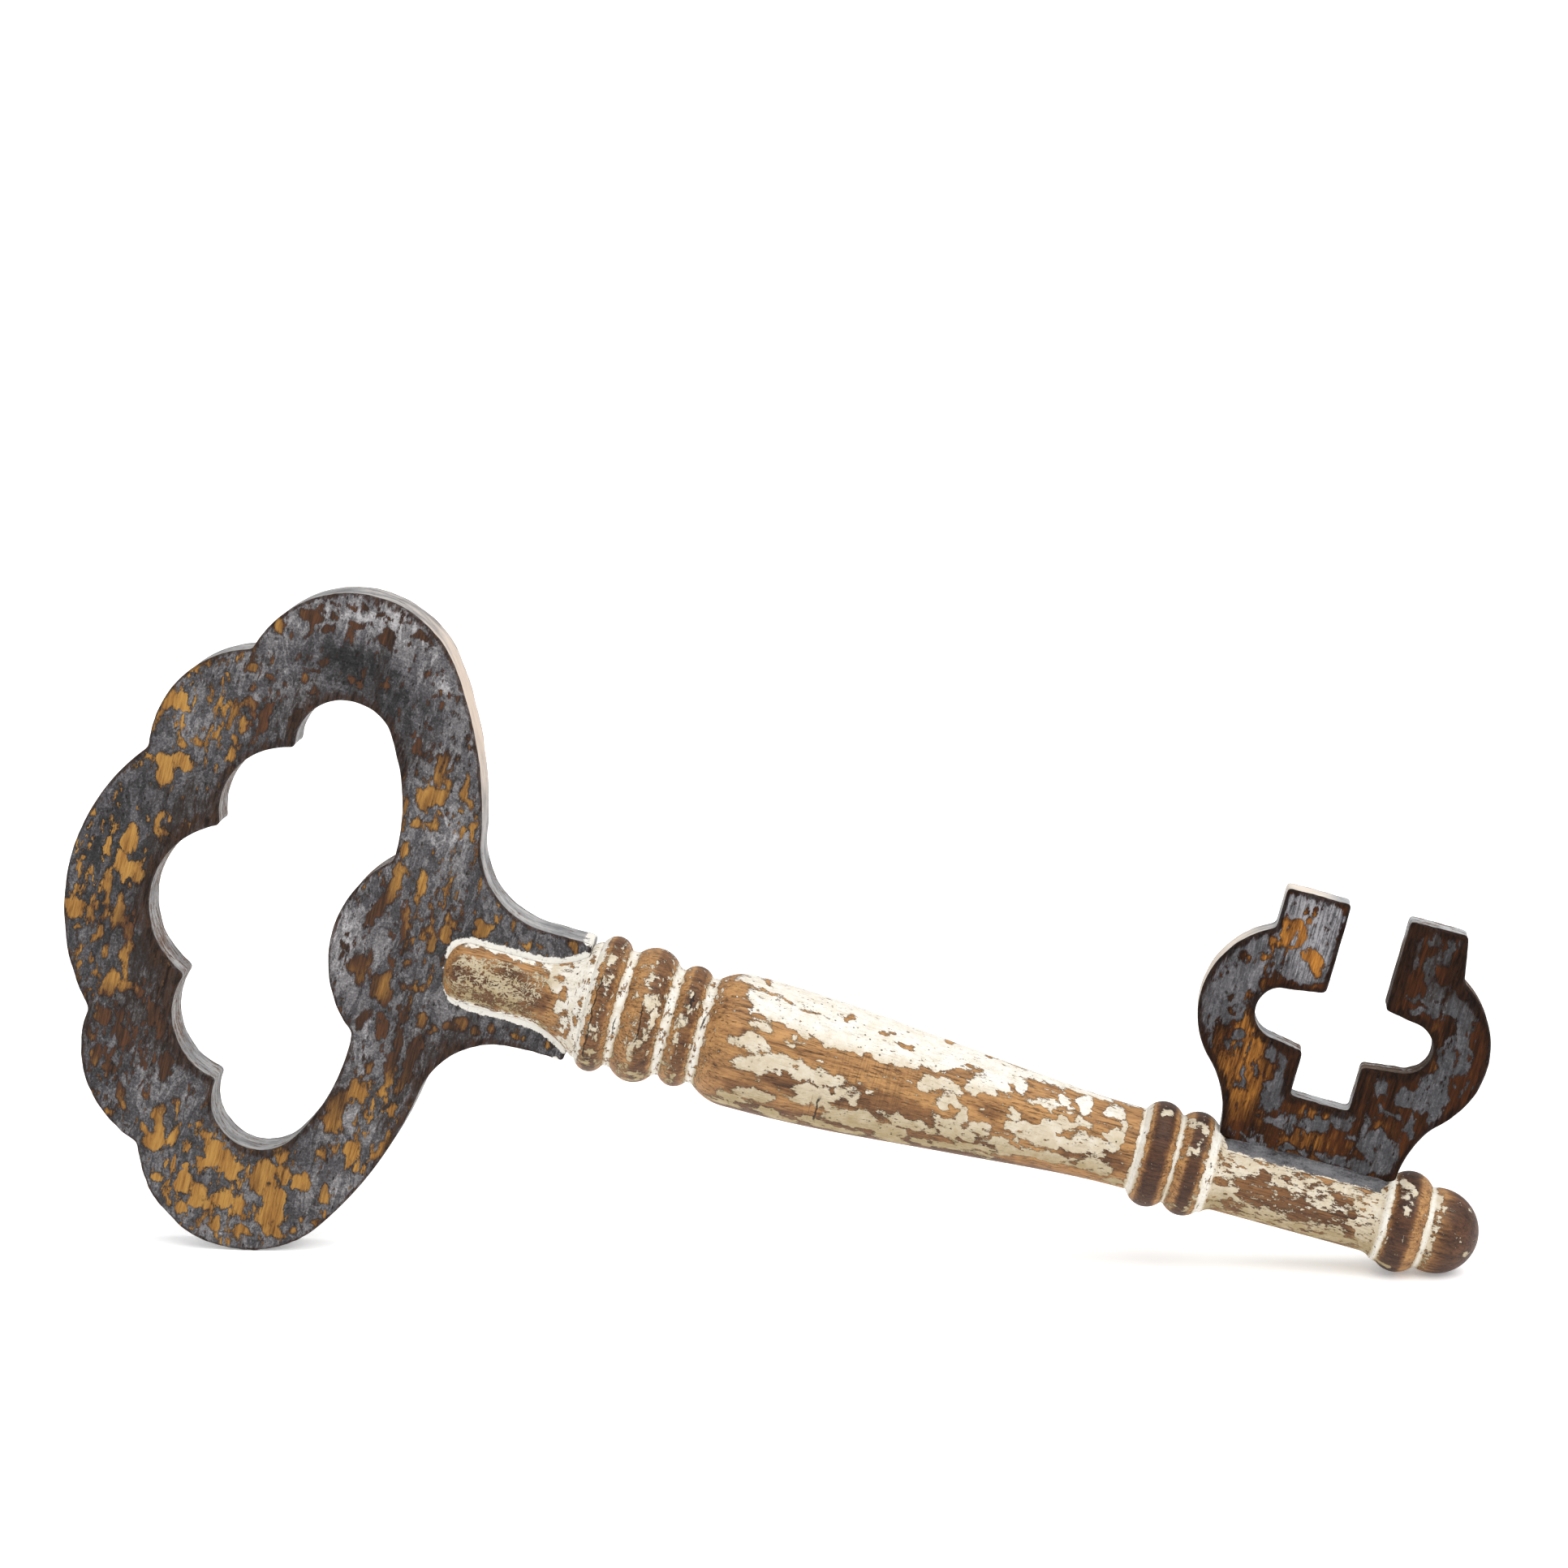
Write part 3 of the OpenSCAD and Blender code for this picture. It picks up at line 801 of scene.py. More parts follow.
@dataclass(frozen=True)
class SawnEdgeFinish:
    """The sawn edge of stained plywood under a thin rubbed coat of pale chalk paint.

    To the eye the glued layers are faint stripes along the edge, and the paint
    keeps to the hollows, so pale grey streaks alternate with brown ones. The
    amount of coat also carries painted light: paler, cream walls where light falls,
    and darker walls, a painted shade, where a wall is in shade.
    """

    name: str = "sawn_plywood_edge"
    ply_mm: float = 2.0
    coat_and_light: tuple[str, str] = ("#707275", "#a8a8a8")
    # The cream of the highest amount: partly bleached coat, partly painted highlight.
    bleach_and_highlight: str = "#d8c4b2"
    coat_level: float = 0.375
    wood: tuple[tuple[float, str], ...] = ((0.36, "#3d2e26"), (0.5, "#6f5a4b"), (0.64, "#a08976"))
    arris: str = "#22160f"
    white: str = "#dad6ce"
    streak_mm: float = 1.5
    relief_mm: float = 0.25

    def build(self) -> bpy.types.Material:
        """Makes the material, whose X runs along the edge and whose Y runs across the layers.

        Returns:
            The finished material.
        """
        p = Pattern(self.name)
        run, coat_and_light_amount = p.field("run")["Vector"], p.field("coat_and_light")

        # The wave's scale is worked out from the layers' thickness and a turn of two pi.
        scale = 1 / (self.ply_mm * MM) / 6.283
        links = {"Vector": p.stretched((0.04, 1.0, 1.0), run), "Scale": scale}
        links |= {"Distortion": 1.6, "Detail": 3.0, "Detail Scale": 2.0}
        layers = add_node(p.tree, "ShaderNodeTexWave", links, "Fac", bands_direction="Y")
        streaks = p.noise(self.streak_mm, (0.34, 1.0, 1.0), 8, 0.76, base=run)
        pores = p.noise(0.6, (0.5, 1.0, 1.0), 4, 0.75, base=run)
        both = streaks * 0.62 + layers * 0.05 + pores * 0.33
        # Where the amount of coat and light falls below 0.1, the wood darkens towards the arris
        # colour: painted shade on walls in shade.
        wood = coat_and_light_amount.eased(0.1, -1.2, 0.0, 0.8).blend(both.coloured(self.wood), self.arris)

        # The coat turns cream where the amount of coat and light is highest, partly bleached
        # coat and partly a painted highlight, and keeps to the high tones.
        blotch = p.noise(5.0, (0.3, 1.0, 1.0), 6, 0.7, base=run)
        coat_and_light = blotch.eased(0.35, 0.62).blend(*self.coat_and_light)
        coat_and_light = (coat_and_light_amount + blotch).eased(0.85, 1.75, 0.0, 0.78).blend(coat_and_light, self.bleach_and_highlight)
        level = both + p.sway(0.3, 9.0, None, 5, 0.65) + (coat_and_light_amount - 0.4) * 0.16
        colour = level.eased(self.coat_level, self.coat_level + 0.10, 0.0, 0.92).blend(wood, coat_and_light)
        colour, _ = p.whitened(colour, self.white)
        rub = p.noise(3.0, None, 5, 0.65) * 2.9 - p.field("edge_mm")
        colour = rub.eased(0.0, 0.9, 0.0, 0.8).blend(colour, self.arris)
        return p.finish(colour, 0.85, streaks * 0.9 + pores * 0.6, self.relief_mm)


@dataclass(frozen=True)
class WhitewashFinish:
    """White wash flaking off a turned softwood shank with scorched crowns.

    To the eye cream paint clings to grooves and coves and breaks up along the
    grain. Between the flakes the wood is golden tan with short dark pores, and
    burnt brown on the crowns of the rings. Each flake's outline swings by swing_mm
    in bays of rag_mm, and film_mm is the wash's thickness.
    """

    name: str = "whitewashed_turned_wood"
    wash: tuple[tuple[float, str], ...] = ((0.0, "#dedad1"), (0.45, "#c2b59e"), (0.95, "#9d8b69"))
    wood: tuple[str, str, str] = ("#b28654", "#906840", "#4b321d")
    browned: tuple[str, str, str] = ("#835b36", "#5e3e25", "#332012")
    scorch: tuple[str, str, str] = ("#5a3a26", "#3b251a", "#20130c")
    pore: str = "#34200f"
    pit: str = "#241c16"
    crack: str = "#1b120d"
    rag_mm: float = 4.5
    swing_mm: float = 4.4
    film_mm: float = 0.3

    def build(self) -> bpy.types.Material:
        """Makes the material from the wood up to the cracks through the wash.

        Returns:
            The finished material.
        """
        p = Pattern(self.name)
        grain = Grain.ALONG_SHANK
        along, around = grain.stretch(0.4), (1.0, 0.45, 0.45)
        flecks, ring_flecks = p.field("flecks"), p.field("ring_flecks")

        # The wash's film: the marked flakes made ragged, and on the tail a network of
        # lines along the folds of two noises, with curls between them.
        inside = p.ragged(p.field("wash_mm"), self.rag_mm, self.swing_mm, along)
        folds = abs(p.noise(3.9, grain.stretch(0.7), 4, 0.6, 0.9) - 0.5)
        folds = folds.smaller(abs(p.noise(2.4, grain.stretch(0.8), 3, 0.6, 0.7) - 0.5))
        network = (p.noise(5.0, along, 6, 0.66) - folds * 5.0 - 0.37) * 6.0
        curls = (p.noise(3.4, grain.stretch(0.6), 9, 0.78, 0.5) - 0.58) * 12.0
        mottled = (p.field("mottle") + p.sway(1.5, 5.0, None, 5, 0.7)).eased(0.6, 0.2, 0.0, 9.0)
        inside = inside.larger(network.larger(curls) - mottled)

        # Small flakes of wash left on the wood, and of wood showing through the wash.
        for level, left_mm, gone_mm, noise in (
            (0.72 - flecks * 0.10, 1.9, 1.6, (along, 6, 0.68)),
            (0.74 - ring_flecks * 0.12, 2.0, 1.7, (around, 7, 0.7)),
        ):
            inside = inside.larger((p.noise(left_mm, *noise) - level) * 9.0)
            inside = inside.smaller((level - p.noise(gone_mm, *noise)) * 9.0)
        # The wash's crisp mask, and the band round it where a painted shadow of its edge goes.
        kept, shadow_rim = inside.film()

        # The wood darkens from tan over brown to scorched. The pores and the lathe's
        # fine rings are drawn about twice as coarse as they are, so that they show.
        bare, brown = (p.wood(grain, shades, 0.9) for shades in (self.wood, self.browned))
        heat = p.field("scorch") + p.sway(0.9, 3.0, grain.stretch(0.14), 8, 0.74)
        heat = heat + p.sway(0.45, 4.0, None, 6, 0.7)
        wood = heat.eased(0.12, 0.58).blend(bare, brown)
        wood = heat.eased(0.52, 0.98).blend(wood, p.wood(grain, self.scorch))
        pores = p.noise(0.62, grain.stretch(0.09), 3, 0.6) + p.sway(0.12, 7.0, along)
        pores = pores.eased(0.575, 0.64)
        rings = p.noise(0.55, (1.0, 0.06, 0.06), 2).eased(0.5, 0.62, 0.0, 0.32)
        # The pores, the lathe's rings and the painted shadow along the wash's edge darken the wood in
        # the pore colour.
        for mask in (pores * 0.7, rings * p.field("hatch"), shadow_rim * 0.38):
            wood = mask.blend(wood, self.pore)

        # The wash is soiled in places, darker towards the underside and painted lighter on
        # top of the body as a painted highlight. It is pitted on the rings, and the cracks run
        # through wash and wood.
        cream = (p.field("wash_darkness") + p.sway(1.1, 5.0, None, 7, 0.74)).coloured(self.wash)
        pits = p.specks(1.7, 0.27, 0.4, (0.75, 1.0, 0.6))
        pits = pits * (ring_flecks + p.noise(9.0, along)).eased(0.5, 0.75)
        cream = (pits * 0.85).blend(cream, self.pit)
        crack = abs(p.field("crack_mm") + p.sway(3.5, 4.0, None, 4, 0.6)).eased(0.38, 0.12)
        crack = crack * p.field("crack_on")
        colour = (crack * 0.9).blend(kept.blend(wood, cream), self.crack)

        height = kept + p.noise(0.9, along, 4, 0.7) * 0.4 - pores * 0.3 - (pits * 0.6 + crack * 1.5)
        return p.finish(colour, kept * 0.26 + 0.52, height, self.film_mm)


@dataclass(frozen=True)
class FillerFinish:
    """Acrylic wood filler smeared on by hand and dried.

    To the eye it is matt and a little cloudy, with small pits and a paler or
    dirtier hem where it thins out.
    """

    name: str
    light: str
    dark: str
    pit: str
    hem: str

    def build(self) -> bpy.types.Material:
        """Makes the material, lighter down the fillet by the field "down" and darker at its
        top against the bit, a painted shade in the corner.

        Returns:
            The finished material.
        """
        p = Pattern(self.name)
        down = p.field("down")
        smeared, thinned = Grain.ALONG_SHANK.stretch(0.35), Grain.ALONG_SHANK.stretch(0.5)
        cloud = p.noise(4.0, smeared, 8, 0.76) + p.noise(0.7, None, 4, 0.75) * 0.4
        # Painted shade: darker at the fillet's top against the bit, lighter towards its foot.
        colour = (cloud + down * 0.16).coloured([(0.62, self.dark), (0.88, self.light)])
        colour = (p.specks(2.0, 0.25, 0.2) * 0.8).blend(colour, self.pit)
        hem = (down + p.sway(1.4, 2.2, thinned, 7, 0.74)).eased(0.93, 0.99)
        height = cloud + p.noise(0.8) * 0.4
        return p.finish(hem.blend(colour, self.hem), 0.8, height, 0.2)


class Outline:
    """A board's outline and openings as one run of points, with the wood on their left."""

    def __init__(self, loops: Sequence[np.ndarray]) -> None:
        """Joins the loops and works out how their points follow each other.

        Args:
            loops: The points of each loop, in key millimetres.
        """
        self.edge = np.concatenate(loops)
        count = len(self.edge)
        sizes = [len(points) for points in loops]
        starts = np.concatenate([[0], np.cumsum(sizes)[:-1]])
        self.after = np.concatenate(
            [start + (np.arange(size) + 1) % size for start, size in zip(starts, sizes)]
        )
        self.before = np.empty(count, int)
        self.before[self.after] = np.arange(count)
        along = self.edge[self.after] - self.edge[self.before]
        length = np.linalg.norm(along, axis=1)[:, None]
        self.inward = np.stack([-along[:, 1], along[:, 0]], axis=1) / length
        self.run = np.concatenate([run_length(points) for points in loops])
        self.tree = point_tree(self.edge)

    def inside(self, points: np.ndarray) -> np.ndarray:
        """Says which points lie in the wood, by counting crossings.

        Args:
            points: The points to test.

        Returns:
            True for each point in the wood.
        """
        odd = np.zeros(len(points), bool)
        x, z = points.T
        for (ax, az), (bx, bz) in zip(self.edge, self.edge[self.after]):
            if az == bz:
                continue
            cross = (z > az) != (z > bz)
            odd ^= cross & (x < (bx - ax) * (z - az) / (bz - az) + ax)
        return odd

    def depth(self, points: np.ndarray) -> tuple[np.ndarray, np.ndarray]:
        """Measures how far each point lies from the outline.

        Args:
            points: The points.

        Returns:
            The distances, and the number of the nearest outline point.
        """
        nearest = np.array([self.tree.find((x, z, 0.0))[1] for x, z in points])
        best = np.full(len(points), np.inf)
        for other in (self.before, self.after):
            start = self.edge[nearest]
            step = self.edge[other[nearest]] - start
            share = ((points - start) * step).sum(1) / np.maximum((step**2).sum(1), 1e-12)
            along = step * np.clip(share, 0, 1)[:, None]
            best = np.minimum(best, np.linalg.norm(points - start - along, axis=1))
        return best, nearest


@dataclass
class PlyBoard:
    """A sawn plywood board, rebuilt finely from its packed outline.

    chips are bare places in the paint, and islands are places where the paint has
    stayed on a board that is bare elsewhere. Each Strength is read by the finish.
    """

    node: str
    slot: str
    thickness: float = 18.0
    spacing: float = 0.95
    arris: float = 1.0
    arris_wear: float = 0.55
    arris_least: float = 0.35
    arris_most: float = 2.6
    arris_rows: tuple[float, ...] = (0.617, 0.293, 0.076)
    corner_wear: int = 3
    wall_rows: int = 12
    hollow: float = 0.12
    seed: int = 1
    chips: Rows = ()
    islands: Rows = ()
    white_marks: Rows = ()
    white_line: np.ndarray | None = None
    white_reach: float = 2.0
    dark: Strength = Strength(0.1)
    pale: Strength = Strength(0.35)
    worn: Strength = Strength(0.1)
    flecks: Strength = Strength(0.0)
    burn_mm: Strength = Strength(1.1)
    # How much pale coat the walls show, with painted light in it: areas raise it where light falls on
    # a wall and lower it where a wall is in shade.
    coat_and_light: Strength = Strength(0.4)
    back_middle_x: float | None = None
    sweep_centre: tuple[float, float] = (0.0, 0.0)
    sweep_radius: float = 60.0

    def loops(self) -> list[np.ndarray]:
        """Reads the front face's outline and openings, and rounds their corners.

        Returns:
            One loop of key millimetres each, with the wood on its left.
        """
        node = FRAME["nodes"][self.node]
        places = vertices_of(node)
        front = places[:, 1].min()
        seen: set[tuple[tuple[int, int], tuple[int, int]]] = set()
        for face in node.data.polygons:
            if all(abs(places[v][1] - front) <= 1e-6 for v in face.vertices):
                ring = [tuple(np.round(places[v][[0, 2]] * 1e7).astype(int)) for v in face.vertices]
                seen.update(zip(ring, ring[1:] + ring[:1]))
        steps = {a: b for a, b in seen if (b, a) not in seen}
        loops: list[np.ndarray] = []
        while steps:
            start = min(steps)
            ring = [start]
            while (following := steps.pop(ring[-1])) != start:
                ring.append(following)
            flat = np.array(ring, float) / 1e7
            key = PLACE.to_key(np.insert(flat, 1, 0.0, axis=1))
            points = smooth_polyline(key[:, [0, 2]], self.spacing, True)
            for _ in range(self.corner_wear):
                points = (np.roll(points, 1, 0) + 2 * points + np.roll(points, -1, 0)) / 4
            loops.append(points)
        return loops

    def arris_radius(self, edge: np.ndarray, seed: int) -> np.ndarray:
        """How far the arris is rubbed round at each point of the outline.

        Args:
            edge: The outline's points.
            seed: The seed of its unevenness.

        Returns:
            The radius at each point.
        """
        wear = self.arris + self.arris_wear * ripple(edge, 13.0, seed)
        wear = wear + 0.5 * self.arris_wear * ripple(edge, 4.0, seed + 5)
        return np.clip(wear, self.arris_least, self.arris_most)

    def face_layer(
        self, side: int, flat: np.ndarray, depth: np.ndarray, radius: np.ndarray
    ) -> np.ndarray:
        """Places one face's points, dropped towards the arris and slightly hollow.

        Args:
            side: -1 for the front and 1 for the back.
            flat: The face's flat points.
            depth: How far each one lies from the outline.
            radius: The arris's radius near each one.

        Returns:
            The points in key millimetres.
        """
        inner = np.clip(depth / radius, 0, 1)
        drop = radius * (1 - np.sqrt(np.clip(1 - (1 - inner) ** 2, 0, 1)))
        wave = np.clip(ripple(flat, 22.0, self.seed + 20 + side), -1, 1)
        uneven = self.hollow * (0.5 + 0.5 * wave)
        return np.insert(flat, 1, side * (self.thickness / 2 - drop - uneven * inner), axis=1)

    def wall_row(self, outline: Outline, y: np.ndarray, share: float) -> np.ndarray:
        """Places one row of the sawn wall, slightly hollow and uneven.

        Args:
            outline: The board's outline.
            y: How far back each point of the row lies.
            share: The row's place, from 0 at the front arris to 1 at the back one.

        Returns:
            The points in key millimetres.
        """
        wave = ripple(np.insert(outline.edge, 1, y * 2, axis=1), 7.0, self.seed + 40)
        dent = self.hollow * (1 + np.clip(wave, -1, 1)) * math.sin(math.pi * share)
        return np.insert(outline.edge + outline.inward * dent[:, None], 1, y, axis=1)

    def build(self) -> bpy.types.Object:
        """Builds the board with worn arrises and uneven sawn walls.

        Returns:
            The board's object, with the faces in its first material slot and the
            walls in its second.
        """
        outline = Outline(self.loops())
        front, back = (self.arris_radius(outline.edge, self.seed + k) for k in range(2))
        flat, triangles = self.fill(outline, front)
        depth, nearest = outline.depth(flat)
        half, count = self.thickness / 2, len(outline.edge)
        layers = [
            self.face_layer(side, flat, depth, radius[nearest])
            for side, radius in ((-1, front), (1, back))
        ]
        low, high = front - half, half - back
        shares = np.linspace(0, 1, self.wall_rows + 1)[1:-1]
        walls = [self.wall_row(outline, low + (high - low) * share, share) for share in shares]
        points = np.concatenate([*layers, *walls])

        ring = np.arange(count)
        firsts = (2 * len(flat) + k * count for k in range(len(shares)))
        rows = [ring, *(first + ring for first in firsts), len(flat) + ring]
        after = outline.after
        sides = [np.stack([a, b, b[after], a[after]], axis=1) for a, b in zip(rows, rows[1:])]
        faces = [*triangles.tolist(), *(triangles[:, ::-1] + len(flat)).tolist()]
        kinds = [0] * len(faces)
        faces += np.concatenate(sides).tolist()
        kinds += [1] * (len(faces) - len(kinds))
        made = mesh_object(self.node + "_piece", PLACE.to_row(points), faces)
        made.data.polygons.foreach_set("material_index", kinds)

        is_wall = np.arange(len(points)) >= 2 * len(flat)
        face_depth = np.concatenate([depth, depth, np.zeros(len(shares) * count)])
        edge_mm = np.where(is_wall, half - np.abs(points[:, 1]), face_depth)
        place = np.concatenate([nearest, nearest, *[ring] * len(shares)])
        self.mark(made, points, edge_mm, outline.run[place])
        shade(made)
        return made

    def fill(self, outline: Outline, radius: np.ndarray) -> tuple[np.ndarray, np.ndarray]:
        """Fills the outline with even triangles and close rows along the arris.

        Args:
            outline: The board's outline.
            radius: The arris's radius at each of its points.

        Returns:
            The flat points, the outline's first, and the triangles.
        """
        # Close rows where the arris has turned through a quarter, a half and three
        # quarters of its right angle, and then an even grid clear of them.
        edge = outline.edge
        found = [edge]
        for turn in self.arris_rows:
            offset = radius * (1 - turn)
            ring = edge + outline.inward * offset[:, None]
            found.append(ring[outline.depth(ring)[0] > 0.93 * offset])
        low, high = edge.min(0), edge.max(0)
        grid: list[np.ndarray] = []
        for k, z in enumerate(np.arange(low[1], high[1], self.spacing * math.sqrt(0.75))):
            x = np.arange(low[0] + (k % 2) * self.spacing / 2, high[0], self.spacing)
            grid.append(np.stack([x, np.full(len(x), z)], axis=1))
        even = np.concatenate(grid)
        even = even[outline.inside(even)]
        clear = float(np.max(radius)) * 0.55 + self.spacing * 0.6
        found.append(even[outline.depth(even)[0] > clear])
        points = np.concatenate(found)
        joined = [(i, int(following)) for i, following in enumerate(outline.after)]
        verts, _, faces, *_ = delaunay_2d_cdt([Vector(p) for p in points], joined, [], 0, 1e-7)
        if len(verts) != len(points):
            raise RuntimeError(f"{self.node}: the filling made {len(points)} points {len(verts)}")
        flat = np.array([tuple(v) for v in verts])
        triangles = np.array([f for f in faces if len(f) == 3])
        return flat, triangles[outline.inside(flat[triangles].mean(axis=1))]

    def mark(
        self, made: bpy.types.Object, points: np.ndarray, edge_mm: np.ndarray, run: np.ndarray
    ) -> None:
        """Stores where paint is chipped, pale or worn, for the finish.

        The back has the front's marks, upside down or mirrored lengthways.

        Args:
            made: The board's object.
            points: Its vertices in key millimetres.
            edge_mm: Each vertex's distance from the nearest arris.
            run: Each vertex's place along the outline.
        """
        x, y, z = points.T
        behind, x_seen, z_seen = y > 0, x, z
        if self.back_middle_x is None:
            z_seen = np.where(behind, -z, z)
        else:
            x_seen = np.where(behind, 2 * self.back_middle_x - x, x)
        chips, islands, white = (
            mark_field(x_seen, z_seen, [Mark(*row) for row in rows], upright=True)
            for rows in (self.chips, self.islands, self.white_marks)
        )
        bare = np.maximum(chips, -islands) if self.islands else chips
        if self.white_line is not None:
            tree = point_tree(self.white_line[:, [0, 2]])
            found = [tree.find((a, b, 0.0)) for a, b in zip(x, z)]
            reach = self.white_reach * self.white_line[[i for _, i, _ in found], 3]
            white = np.maximum(white, reach - np.array([away for _, _, away in found]))
        for name in ("dark", "pale", "worn", "flecks"):
            set_attribute(made, name, getattr(self, name).at(x_seen, z_seen))
        set_attribute(made, "burn_mm", np.maximum(self.burn_mm.at(x_seen, z_seen), 0.3))
        set_attribute(made, "coat_and_light", self.coat_and_light.at(x, z))
        set_attribute(made, "bare_mm", np.clip(bare, -FAR, FAR))
        set_attribute(made, "white_mm", np.clip(white, -FAR, FAR))
        set_attribute(made, "edge_mm", edge_mm)
        right, up = x - self.sweep_centre[0], z - self.sweep_centre[1]
        angle = np.arctan2(up, right)
        turn = self.sweep_radius * np.stack([np.cos(angle), np.sin(angle)], axis=1)
        set_attribute(made, "sweep", MM * np.insert(turn, 0, np.hypot(right, up), axis=1))
        set_attribute(made, "run", MM * np.stack([run, y, np.zeros(len(y))], axis=1))


def start_group(name: str, inputs: dict[str, str], result: str) -> tuple[bpy.types.NodeTree, Value]:
    """Starts a Geometry Nodes group with named inputs.

    Args:
        name: The group's name.
        inputs: For each input, the kind of its socket.
        result: The name of the geometry that comes out.

    Returns:
        The group, and its first input, from which the others can be had.
    """
    group = bpy.data.node_groups.new(name, "GeometryNodeTree")
    for label, kind in inputs.items():
        group.interface.new_socket(label, in_out="INPUT", socket_type="NodeSocket" + kind)
    group.interface.new_socket(result, in_out="OUTPUT", socket_type="NodeSocketGeometry")
    return group, add_node(group, "NodeGroupInput")


def end_group(group: bpy.types.NodeTree, body: Value, finish: Value) -> None:
    """Ends a Geometry Nodes group in Realize Instances and Set Material.

    Args:
        group: The group.
        body: The geometry that it has made.
        finish: The material that it sets.
    """
    real = add_node(group, "GeometryNodeRealizeInstances", {0: body})
    links = {"Geometry": real, "Material": finish}
    dressed = add_node(group, "GeometryNodeSetMaterial", links)
    add_node(group, "NodeGroupOutput", {0: dressed})


def run_group(
    source: bpy.types.Object, group: bpy.types.NodeTree, values: dict[str, Any], name: str
) -> bpy.types.Object:
    """Runs a node group on an object and keeps the result as a plain mesh.

    Args:
        source: The object that the group starts from, which is removed.
        group: The node group.
        values: The group's inputs by name.
        name: The new object's name.

    Returns:
        The new object, without modifiers.
    """
    modifier = source.modifiers.new(group.name, "NODES")
    modifier.node_group = group
    items = [i for i in group.interface.items_tree if i.item_type == "SOCKET" and i.in_out == "INPUT"]
    sockets = {item.name: item.identifier for item in items}
    for key, value in values.items():
        modifier[sockets[key]] = value
    graph = bpy.context.evaluated_depsgraph_get()
    mesh = bpy.data.meshes.new_from_object(source.evaluated_get(graph))
    mesh.name = name
    bpy.data.objects.remove(source)
    return linked(name, mesh)


def line_object(name: str, points_m: np.ndarray) -> bpy.types.Object:
    """Makes an object of one run of edges, for a node group to start from.

    Args:
        name: The object's name.
        points_m: Its points in metres.

    Returns:
        The new object, linked to the scene.
    """
    mesh = bpy.data.meshes.new(name)
    mesh.from_pydata(points_m.tolist(), [(i, i + 1) for i in range(len(points_m) - 1)], [])
    return linked(name, mesh)


